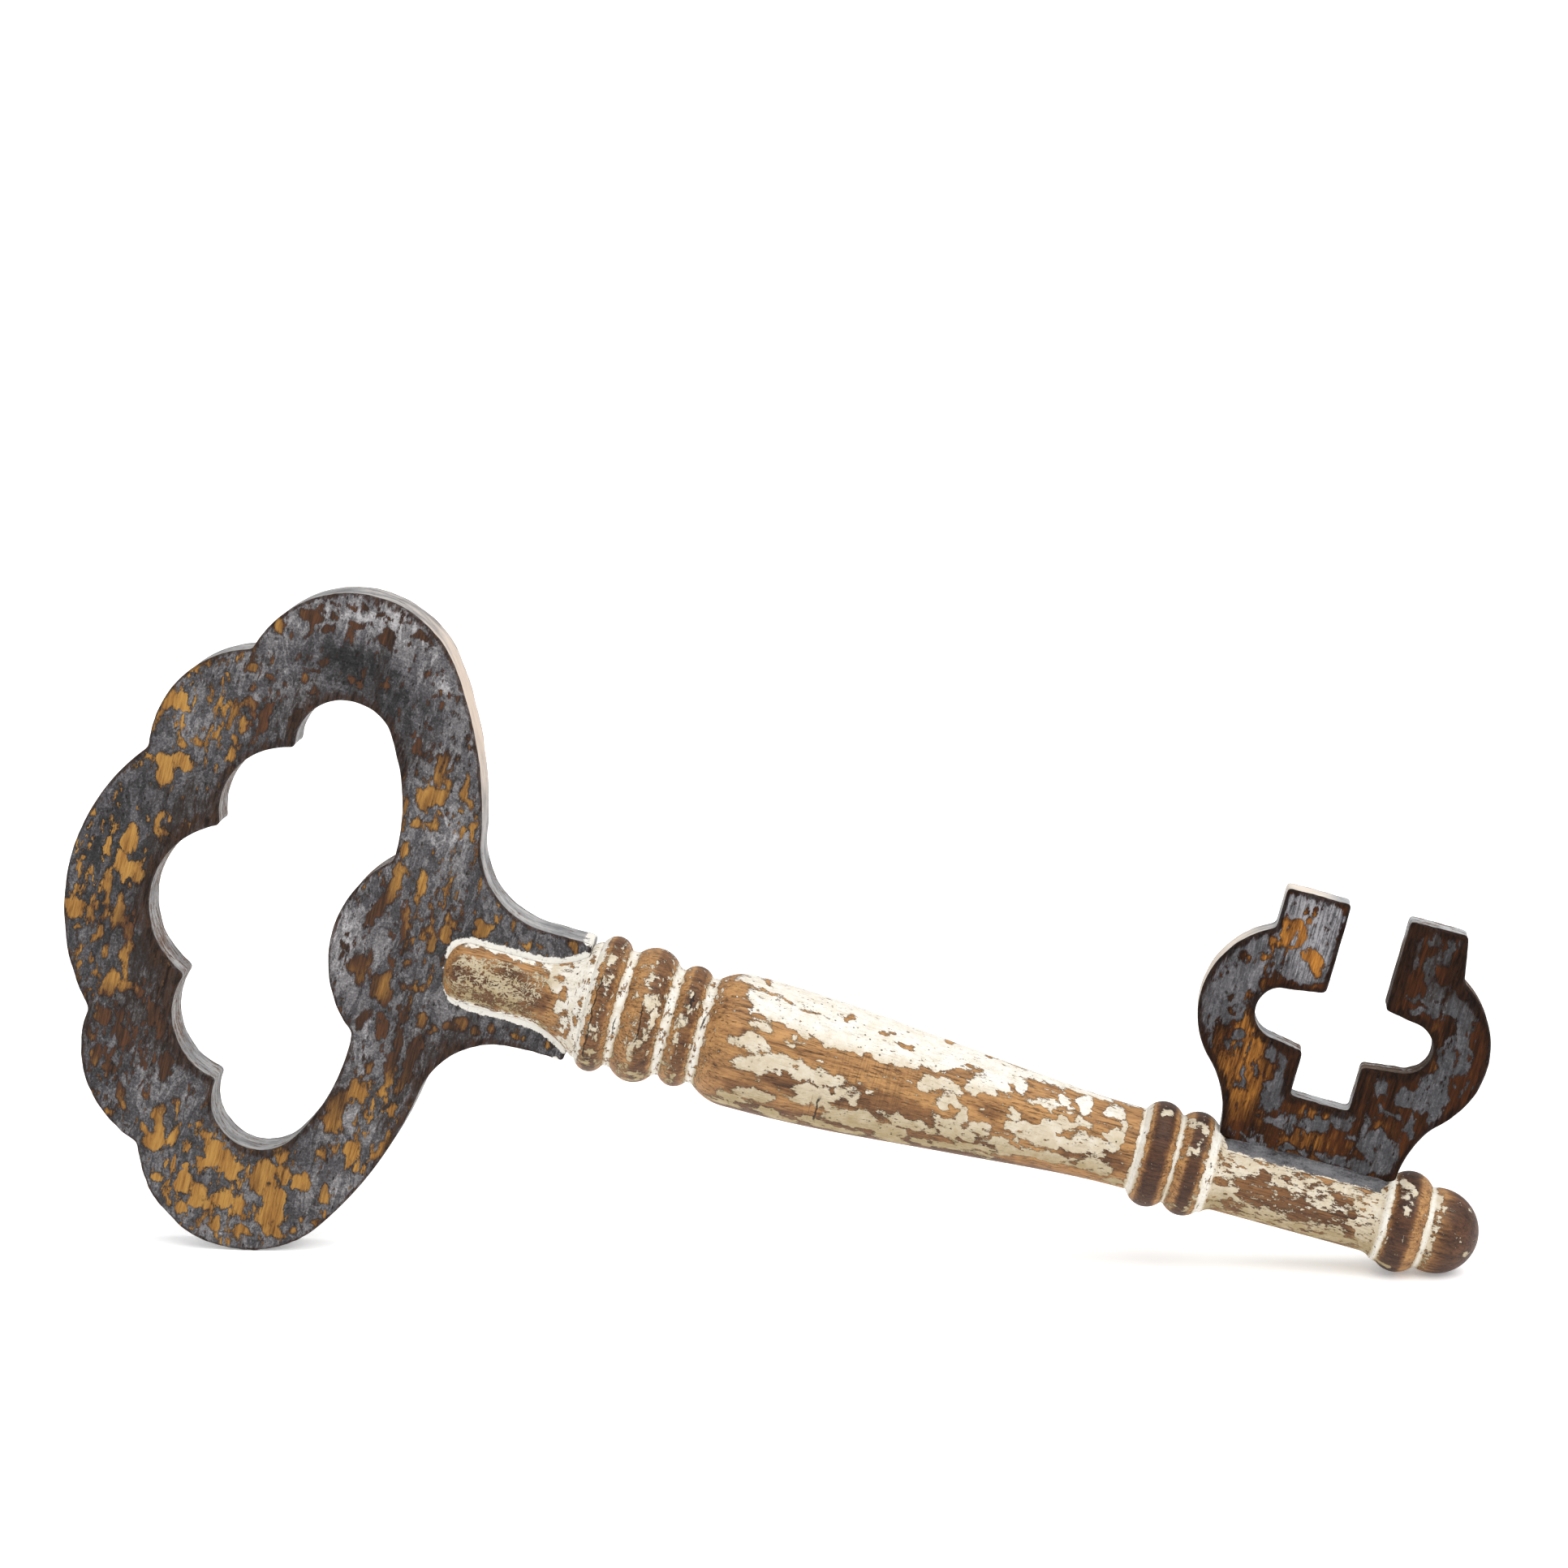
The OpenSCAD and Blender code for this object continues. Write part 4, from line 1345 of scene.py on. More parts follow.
@dataclass
class TurnedShank:
    """The shank, turned on the lathe from its packed profile, then sawn.

    The tables give a value at places along the axis: how far the wash reaches at
    least and at most, and how many small flakes of it come and go.
    """

    node: str = "turned_shank"
    slot: str = "whitewashed_turned_wood"
    station: float = 0.85
    fineness: float = 0.4
    corner_deg: float = 30.0
    segments: int = 160
    wobble: float = 0.12
    wobble_size: float = 14.0
    slot_width: float = 18.4
    slot_end: float = 0.2
    slot_reach: float = 120.0
    mortise: tuple[float, float, float, float] = (263.64, 56.4, 12.4, 4.3)
    mortise_reach: float = 30.0
    thin_wash: Rows = (
        (-60, -3.2), (-14, -2.6), (-9, -1.2), (-4, 0.0), (4, 0.6), (6, -0.9), (7.5, -2.4), (12, -2.8),
        (31, -2.6), (47, -3.0), (60, -2.4), (100, -2.2), (150, -1.3), (202, -1.3), (208, -3.0),
        (228, -2.8), (233, 0.3), (244, 0.0), (284, 0.1), (292, 0.8), (297, -2.2), (309, -3.0),
        (314, -2.8), (320, -3.2), (330, -2.8),
    )
    thick_wash: Rows = (
        (-60, 1.6), (-17, 1.4), (-12, 0.8), (-3, 0.9), (2, 1.8), (5, 1.8), (7, 1.0), (46, 1.0),
        (56, 1.9), (140, 1.8), (205, 1.0), (235, 0.9), (292, 0.9), (298, 0.8), (330, 0.8),
    )
    flecks: Rows = (
        (-60, 0.5), (-10, 0.7), (-4, 0.8), (2, 0.3), (46, 0.3), (56, 0.7), (120, 0.8), (200, 1.0),
        (206, 0.1), (230, 0.3), (236, 1.4), (292, 1.4), (297, 0.2), (308, 0.2), (330, 0.3),
    )
    ring_flecks: Rows = (
        (-60, 0), (-8, 0.3), (-4, 1.0), (5, 1.3), (48, 1.3), (54, 0.2), (200, 0.1), (206, 0.7),
        (218, 0.5), (224, 0.8), (232, 1.0), (238, 0.1), (290, 0.2), (296, 1.0), (306, 0.8),
        (314, 0.8), (330, 0.7),
    )
    back_shift: float = 7.0
    tail_x: float = -10.0
    body_x: tuple[float, float] = (47.0, 205.0)
    stem_x: float = 234.0
    browning: tuple[float, float, float] = (0.72, 0.55, 0.62)
    mottled_x: float = -31.0
    mottled_reach: float = 21.0
    mottled_angle: tuple[float, float] = (-17.0, 60.0)
    hatched_x: float = 107.0
    hatched_angle: tuple[float, float] = (10.0, 55.0)
    # How dark the wash is: a base, more on the tail's mottled patch and towards the underside, and a
    # light tone where the wash is clean or is painted lighter as a painted highlight.
    wash_darkness: float = 0.42
    tail_soil: float = 0.34
    underside_darkening: float = 0.5
    clean_and_lit_tone: float = 0.08
    crack_reach: float = 3.0
    crack_fade: float = 4.0
    washes: Rows = ()
    bare: Rows = ()
    browned: Rows = ()
    cracks: Rows = (
        (6.9, -40, 38), (23.8, -12, 24), (39.6, 28, 50), (92.0, -48, -14), (15.0, -10, 6),
        (45.6, 14, 32),
    )
    grooves: Rows = (
        (3.6, 1.5), (15.2, 1.7), (32.6, 1.8), (45.2, 1.8), (205.4, 1.6), (218.4, 0.9), (231.2, 2.0),
        (295.0, 1.5), (310.4, 1.3),
    )
    scorches: Rows = (
        (9.4, 3.2, 0.62), (26.9, 4.0, 0.6), (39.9, 3.2, 0.62), (211.9, 4.4, 1.05), (224.9, 3.3, 0.95),
        (301.0, 4.9, 1.0), (325, 12.0, 0.9),
    )

    @cached_property
    def profile(self) -> np.ndarray:
        """The lathe's profile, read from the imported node.

        Returns:
            Points of place along the axis and radius, in key millimetres.
        """
        key = PLACE.to_key(vertices_of(FRAME["nodes"][self.node]))
        radius = np.hypot(key[:, 1], key[:, 2])
        stations = np.round(key[:, 0], 2)
        found = [(float(s), float(radius[stations == s].max())) for s in np.unique(stations)]
        kept: list[tuple[float, float]] = []
        for s, r in found:
            if kept and s - kept[-1][0] < 0.03:
                kept[-1] = (kept[-1][0], max(kept[-1][1], r))
            else:
                kept.append((s, r))
        return np.array([(kept[0][0], 0.0), *kept, (kept[-1][0] + 0.01, 0.0)])

    @staticmethod
    def tree() -> bpy.types.NodeTree:
        """Makes the Geometry Nodes that turn, saw and place the shank.

        Returns:
            The node group, whose inputs are the profile, the sizes and the finish.
        """
        floats = dict.fromkeys(("Station", "Wobble", "Wobble size"), "Float")
        sizes = ("Slot middle", "Slot size", "Mortise middle", "Mortise size", "Lean", "Neck end")
        inputs = {"Profile": "Geometry", **floats, "Segments": "Int", "Finish": "Material"}
        group, given = start_group("turn_and_saw", inputs | dict.fromkeys(sizes, "Vector"), "Shank")
        add = partial(add_node, group)

        # A flat grid of one row for each station and one column for each spoke.
        line = add("GeometryNodeMeshToCurve", {0: given["Profile"]})
        links = {"Curve": line, "Length": given["Station"]}
        even = add("GeometryNodeResampleCurve", links, mode="LENGTH")
        count = add("GeometryNodeAttributeDomainSize", {0: even}, "Point Count", component="CURVE")
        ring = given["Segments"] + 1.0
        body = add("GeometryNodeMeshGrid", {"Vertices X": count, "Vertices Y": ring}, "Mesh")

        # Each point of the grid goes to its station's radius, less a slow wobble.
        index = add("GeometryNodeInputIndex")
        angle = index.math("MODULO", ring) / given["Segments"] * (2 * math.pi)
        place = add("GeometryNodeInputPosition")
        links = {"Geometry": even, "Value": place, "Index": (index / ring).math("FLOOR")}
        point = add("GeometryNodeSampleIndex", links, data_type="FLOAT_VECTOR")
        along = add("ShaderNodeSeparateXYZ", {0: point}, "X")
        radius, cosine, sine = along["Z"], angle.math("COSINE"), angle.math("SINE")
        links = {0: along, 1: cosine * radius, 2: sine * radius}
        links = {
            "Vector": add("ShaderNodeCombineXYZ", links),
            "Scale": 1.0 / given["Wobble size"],
            "Detail": 2.0,
        }
        cloud = add("ShaderNodeTexNoise", links, "Fac")
        radius = (radius - cloud * given["Wobble"]).larger(0.0)
        turned = add("ShaderNodeCombineXYZ", {0: along, 1: cosine * radius, 2: sine * radius})
        body = add("GeometryNodeSetPosition", {"Geometry": body, "Position": turned})
        body = add("GeometryNodeMergeByDistance", {"Geometry": body, "Distance": 1e-6})

        # The saw slot and the mortise are cut, and the shank is leant into its place.
        for cut in ("Slot", "Mortise"):
            block = add("GeometryNodeMeshCube", {"Size": given[cut + " size"]}, "Mesh")
            links = {"Geometry": block, "Translation": given[cut + " middle"]}
            links = {"Mesh 1": body, "Mesh 2": add("GeometryNodeTransform", links)}
            body = add("GeometryNodeMeshBoolean", links, operation="DIFFERENCE", solver="EXACT")
        for socket, name in (("Rotation", "Lean"), ("Translation", "Neck end")):
            links = {"Geometry": body, socket: given[name]}
            body = add("GeometryNodeTransform", links)
        end_group(group, body, given["Finish"])
        return group

    def build(self, material: bpy.types.Material) -> bpy.types.Object:
        """Turns and saws the shank, then stores where its wash has stayed.

        Args:
            material: The whitewashed wood's finish.

        Returns:
            The shank as a plain mesh object.
        """
        line = smooth_polyline(self.profile, self.fineness, False, self.corner_deg)
        line[:, 1] = np.maximum(line[:, 1], 0)
        blank = line_object("shank_profile", MM * np.insert(line, 1, 0.0, axis=1))
        middle, length, width, floor = self.mortise
        deep, reach = self.mortise_reach, self.slot_reach
        values = {
            "Station": self.station * MM,
            "Segments": self.segments,
            "Wobble": self.wobble * MM,
            "Wobble size": self.wobble_size * MM,
            "Slot middle": (MM * (self.slot_end - reach / 2), 0.0, 0.0),
            "Slot size": (MM * reach, MM * self.slot_width, MM * reach),
            "Mortise middle": (MM * middle, 0.0, MM * (floor + deep / 2)),
            "Mortise size": (MM * length, MM * width, MM * deep),
            "Lean": (0.0, PLACE.lean, 0.0),
            "Neck end": (MM * PLACE.neck_end[0], 0.0, MM * PLACE.neck_end[1]),
            "Finish": material,
        }
        made = run_group(blank, self.tree(), values, self.node + "_piece")
        self.mark(made)
        shade(made)
        return made

    def placed(self, rows: Rows) -> list[Mark]:
        """Makes marks whose middles are in millimetres round the shank.

        Args:
            rows: The marks' numbers, with their middles in degrees round it.

        Returns:
            The marks.
        """
        stations, radii = self.profile.T
        return [
            replace(m, across=math.radians(m.across) * float(np.interp(m.x, stations, radii)))
            for m in (Mark(*row) for row in rows)
        ]

    def mark(self, made: bpy.types.Object) -> None:
        """Stores where the wash stays, where the wood is scorched and how dark the wash is, with a
        painted highlight on top of the body.

        The back has the front's marks, shifted along the shank.

        Args:
            made: The shank's object.
        """
        key = PLACE.to_key(vertices_of(made))
        x = key[:, 0]
        radius = np.hypot(key[:, 1], key[:, 2])
        angle = np.degrees(np.arctan2(key[:, 2], -key[:, 1]))
        behind = np.maximum(np.abs(angle) - 90, 0)
        seen = np.sign(angle) * (np.minimum(np.abs(angle), 90) - behind)
        x_seen = x + self.back_shift * np.sin(np.radians(behind)) ** 2
        around = np.radians(seen) * radius
        thin, thick, flecks, ring_flecks = (
            np.interp(x, *np.array(table).T)
            for table in (self.thin_wash, self.thick_wash, self.flecks, self.ring_flecks)
        )

        # The wash: the tables' least and most, the marks between them, and the grooves.
        groove = np.full(len(x), -FAR)
        for middle, half in self.grooves:
            groove = np.maximum(groove, 1.7 * (half - np.abs(x - middle)))
        wash = np.maximum(thin, mark_field(x_seen, around, self.placed(self.washes), upright=False))
        wash = np.minimum(wash, -mark_field(x_seen, around, self.placed(self.bare), upright=False))
        wash = np.maximum(np.minimum(wash, thick), np.minimum(groove, 1.9))

        # The scorch: burnt crowns all round, and browned places.
        scorch = np.zeros(len(x))
        for middle, half, amount in self.scorches:
            crown = np.clip(1.25 * (1 - ((x - middle) / half) ** 2), 0, 1)
            scorch = np.maximum(scorch, amount * crown)
        browned = mark_field(x_seen, around, self.placed(self.browned), upright=False, squareness=2.0)
        on_tail, on_body, on_stem = self.browning
        strength = np.where(x > self.stem_x, on_stem, np.where(x < self.tail_x, on_tail, on_body))
        scorch = np.maximum(scorch, strength * np.clip(browned / 4 + 0.5, 0, 1))

        # The wash's darkness: soil most on the tail's mottled patch, and darker towards the
        # underside. It is least where the wash is clean, in the grooves, in the cove by the bow
        # and along the tail's sides, and on top of the body, a painted highlight of the light above.
        middle, half = self.mottled_angle
        tail = np.exp(-(((x - self.mottled_x) / self.mottled_reach) ** 2))
        tail = tail * np.clip((half - np.abs(seen - middle)) / 16, 0, 1)
        belly = np.clip(-np.sin(np.radians(angle)) * 1.5, 0, 1)
        first, last = self.body_x
        body = np.clip((x - first) / 8, 0, 1) * np.clip((last - x) / 20, 0, 1)
        # Clean wash in the grooves, the cove and along the tail's sides, and a painted highlight on
        # top of the body.
        clean_and_lit = np.clip(np.maximum(groove / 1.6, body * (angle - 30) / 15), 0, 1)
        clean_and_lit = np.maximum(clean_and_lit, 0.8 * np.clip((x + 11) / 6, 0, 1) * (x < 6))
        clean_and_lit = np.maximum(clean_and_lit, np.clip((np.abs(key[:, 2]) - 8.5) / 1.5, 0, 1) * (x < -12))

        wash_darkness = (self.wash_darkness + self.tail_soil * tail + self.underside_darkening * belly) * (1 - clean_and_lit)

        # The cracks, each from its lower to its higher angle, and the lathe's hatching.
        crack_mm, crack_on = np.full(len(x), FAR), np.zeros(len(x))
        for at, low, high in self.cracks:
            here = np.abs(x - at) < self.crack_reach
            ends = (np.clip(gap / self.crack_fade, 0, 1) for gap in (angle - low, high - angle))
            crack_mm = np.where(here, x - at, crack_mm)
            crack_on = np.where(here, math.prod(ends), crack_on)
        middle, half = self.hatched_angle
        hatch = np.clip(1.4 - np.abs(x - self.hatched_x) / 18, 0, 1)

        for name, values in {
            "wash_mm": np.clip(wash, -FAR, FAR),
            "scorch": scorch,
            "hatch": hatch * (np.abs(angle - middle) < half),
            "wash_darkness": wash_darkness + self.clean_and_lit_tone * clean_and_lit,
            "crack_mm": crack_mm,
            "crack_on": crack_on,
            "mottle": tail,
            "flecks": flecks,
            "ring_flecks": ring_flecks,
        }.items():
            set_attribute(made, name, values)


@dataclass
class TailFiller:
    """A bead of white filler round the shank's tail on one face of the bow."""

    shank: TurnedShank
    side: int
    node: str = ""
    slot: str = "white_filler"
    face_y: float = 9.0
    bead: float = 0.76
    sunk: float = 0.6
    spacing: float = 0.5
    lump: float = 5.0
    ends_x: float = -0.3
    sharp_deg: float = 80.0

    @cached_property
    def path(self) -> np.ndarray:
        """The line where the tail meets the board, from its lower end round the nose.

        Returns:
            Its points in key millimetres.
        """
        stations, radii = self.shank.profile[1:].T
        x = np.arange(stations[0], self.ends_x, 0.4)
        z = np.sqrt(np.maximum(np.interp(x, stations, radii) ** 2 - self.face_y**2, 0))
        upper = np.stack([x, np.full(len(x), self.side * (self.face_y - self.sunk)), z], axis=1)
        nose = upper[:1] * (1, 1, 0)
        return np.concatenate([upper[::-1] * (1, 1, -1), nose, upper])

    @property
    def swell(self) -> np.ndarray:
        """How thick the bead is along its path: hardly there round the nose, full along the sides.

        Returns:
            One factor for each point.
        """
        x, _, z = self.path.T
        above = np.clip((z - 2.0) / 5.0, 0, 1)
        below = np.clip((x - x.min() - 3.0) / 8.0, 0, 1)
        return 0.2 + 0.8 * np.where(z > 0, above, below)

    @staticmethod
    def tree() -> bpy.types.NodeTree:
        """Makes the Geometry Nodes that lay an uneven bead along a path.

        Returns:
            The node group, whose inputs are the path, the sizes and the finish.
        """
        floats = dict.fromkeys(("Bead radius", "Spacing", "Lump size", "Seed"), "Float")
        inputs = {"Path": "Geometry", **floats, "Finish": "Material"}
        group, given = start_group("lay_bead", inputs, "Bead")
        add = partial(add_node, group)
        line = add("GeometryNodeMeshToCurve", {0: given["Path"]})
        links = {"Curve": line, "Length": given["Spacing"]}
        line = add("GeometryNodeResampleCurve", links, mode="LENGTH")
        links = {"W": given["Seed"], "Scale": 1.0 / given["Lump size"], "Detail": 3.0}
        lumps = add("ShaderNodeTexNoise", links, "Fac", noise_dimensions="4D")
        links = {"Value": lumps, "From Min": 0.3, "From Max": 0.7, "To Min": 0.45, "To Max": 1.1}
        thick = add("ShaderNodeMapRange", links)
        thick = thick * add("GeometryNodeInputNamedAttribute", {"Name": "swell"})
        links = {"Resolution": 14, "Radius": given["Bead radius"]}
        ring = add("GeometryNodeCurvePrimitiveCircle", links, "Curve")
        links = {"Curve": line, "Profile Curve": ring, "Scale": thick, "Fill Caps": True}
        bead = add("GeometryNodeCurveToMesh", links)
        end_group(group, bead, given["Finish"])
        return group

    def build(self, material: bpy.types.Material) -> bpy.types.Object:
        """Lays the bead and keeps it as a plain mesh.

        Args:
            material: The white filler's finish.

        Returns:
            The bead's object.
        """
        line = line_object("bead_path", PLACE.to_row(self.path))
        set_attribute(line, "swell", self.swell)
        values = {
            "Bead radius": self.bead * MM,
            "Spacing": self.spacing * MM,
            "Lump size": self.lump * MM,
            "Seed": 2.0 + self.side,
            "Finish": material,
        }
        made = run_group(line, self.tree(), values, self.node + "_piece")
        shade(made, self.sharp_deg)
        return made


@dataclass
class BitFiller:
    """Grey filler smoothed into the corner between the bit and the stem."""

    side: int
    node: str
    slot: str = "grey_filler"
    middle_x: float = 263.64
    half: float = 31.0
    face_y: float = 6.0
    foot_y: float = 9.6
    stem_r: float = 14.0
    rise: float = 2.1
    taper: float = 5.0
    sink: float = 0.5
    hollow: float = 0.3
    step: float = 0.8
    rounds: int = 9
    seed: int = 5
    sharp_deg: float = 50.0

    def ring(self, x: np.ndarray, y: np.ndarray | float, z: np.ndarray | float) -> np.ndarray:
        """One line of the fillet along the bit, out by y and up by z from the shank's axis."""
        return np.column_stack([x, self.side * y + 0 * x, z + 0 * x])

    def build(self, material: bpy.types.Material) -> bpy.types.Object:
        """Lofts the hollow fillet along the bit's foot.

        Args:
            material: The grey filler's finish.

        Returns:
            The fillet's object.
        """
        x = np.arange(self.middle_x - self.half, self.middle_x + self.half + 0.1, self.step)
        line = np.stack([x, np.zeros(len(x))], axis=1)
        seed = self.seed + 10 * (self.side + 1)
        head, foot, skin = (ripple(line, size, seed + k) for k, size in enumerate((9.0, 7.0, 4.0)))
        foot_z = math.sqrt(self.stem_r**2 - self.foot_y**2) + 0.2
        end = self.half + 3 - np.abs(x - self.middle_x)
        top_z = math.sqrt(self.stem_r**2 - self.face_y**2)
        top_z = top_z + self.rise * (1 - np.exp(-end / self.taper))
        shares = np.linspace(0, 1, self.rounds)
        rings: list[np.ndarray] = []
        for t in shares:
            bow = math.sin(math.pi * t)
            hollow = self.hollow * bow
            y = self.face_y + (self.foot_y - self.face_y) * t - hollow + 0.12 * skin * bow
            z = (top_z + 0.4 * head) * (1 - t) + (foot_z + 0.1 * foot) * t - hollow * 0.6
            rings.append(self.ring(x, np.maximum(y, self.face_y - 0.1), z))
        rings.append(self.ring(x, self.foot_y - 0.8, foot_z - self.sink))
        rings.append(self.ring(x, self.face_y - self.sink, foot_z))
        count, n = len(rings), len(x)
        faces: list[list[int]] = []
        for j in range(count):
            near, far = j * n, (j + 1) % count * n
            faces += [[near + i, near + i + 1, far + i + 1, far + i] for i in range(n - 1)]
        faces += [[j * n for j in range(count)][::-1], [j * n + n - 1 for j in range(count)]]
        if self.side < 0:
            faces = [f[::-1] for f in faces]
        made = mesh_object(self.node + "_piece", PLACE.to_row(np.concatenate(rings)), faces)
        set_attribute(made, "down", np.repeat([*shares, 1.0, 0.0], n))
        made.data.materials.append(material)
        shade(made, self.sharp_deg)
        return made


@dataclass
class Studio:
    """A pale floor, soft light from above and the camera."""

    camera_at: tuple[float, float, float] = (143.066, -1541.149, 467.505)
    camera_turn_deg: tuple[float, float, float] = (79.228, 0.1388, 5.1061)
    lens: float = 102.484
    sensor: float = 36.0
    clip_m: tuple[float, float] = (0.05, 100.0)
    floor_half_m: float = 60.0
    glow: float = 0.25
    sky: float = 0.72
    sun: float = 2.5
    sun_soft_deg: float = 70.0
    sun_from: tuple[float, float, float] = (0.35, -0.3, 0.9)

    def build(self) -> None:
        """Makes the floor, the light and the camera."""
        bpy.context.scene.view_settings.view_transform = "Standard"
        self.lay_floor()
        self.hang_light()
        self.set_camera()

    def lay_floor(self) -> None:
        """Lays the paper that the key stands on, which glows a little to stay near white."""
        h = self.floor_half_m
        corners = np.array([[-h, -h, 0], [h, -h, 0], [h, h, 0], [-h, h, 0]], float)
        floor = mesh_object("studio_floor", corners, [(0, 1, 2, 3)])
        floor.data.materials.append(Pattern("pale_paper").finish("#ffffff", 0.9, glow=self.glow))

    def hang_light(self) -> None:
        """Makes the white sky and the wide soft light above the key."""
        world = bpy.data.worlds.new("studio_sky")
        world.use_nodes = True
        sky = world.node_tree.nodes["Background"]
        sky.inputs["Color"].default_value = hex_linear("#ffffff")
        sky.inputs["Strength"].default_value = self.sky
        bpy.context.scene.world = world
        light = bpy.data.lights.new("overhead_softbox", "SUN")
        light.energy = self.sun
        light.angle = math.radians(self.sun_soft_deg)
        lamp = linked("overhead_softbox", light)
        lamp.rotation_euler = Vector(self.sun_from).to_track_quat("Z", "Y").to_euler()

    def set_camera(self) -> None:
        """Sets the camera where the photograph was taken from."""
        lens = bpy.data.cameras.new("camera")
        lens.lens, lens.sensor_width = self.lens, self.sensor
        lens.clip_start, lens.clip_end = self.clip_m
        camera = linked("camera", lens)
        camera.location = [MM * v for v in self.camera_at]
        camera.rotation_euler = [math.radians(v) for v in self.camera_turn_deg]
        bpy.context.scene.camera = camera


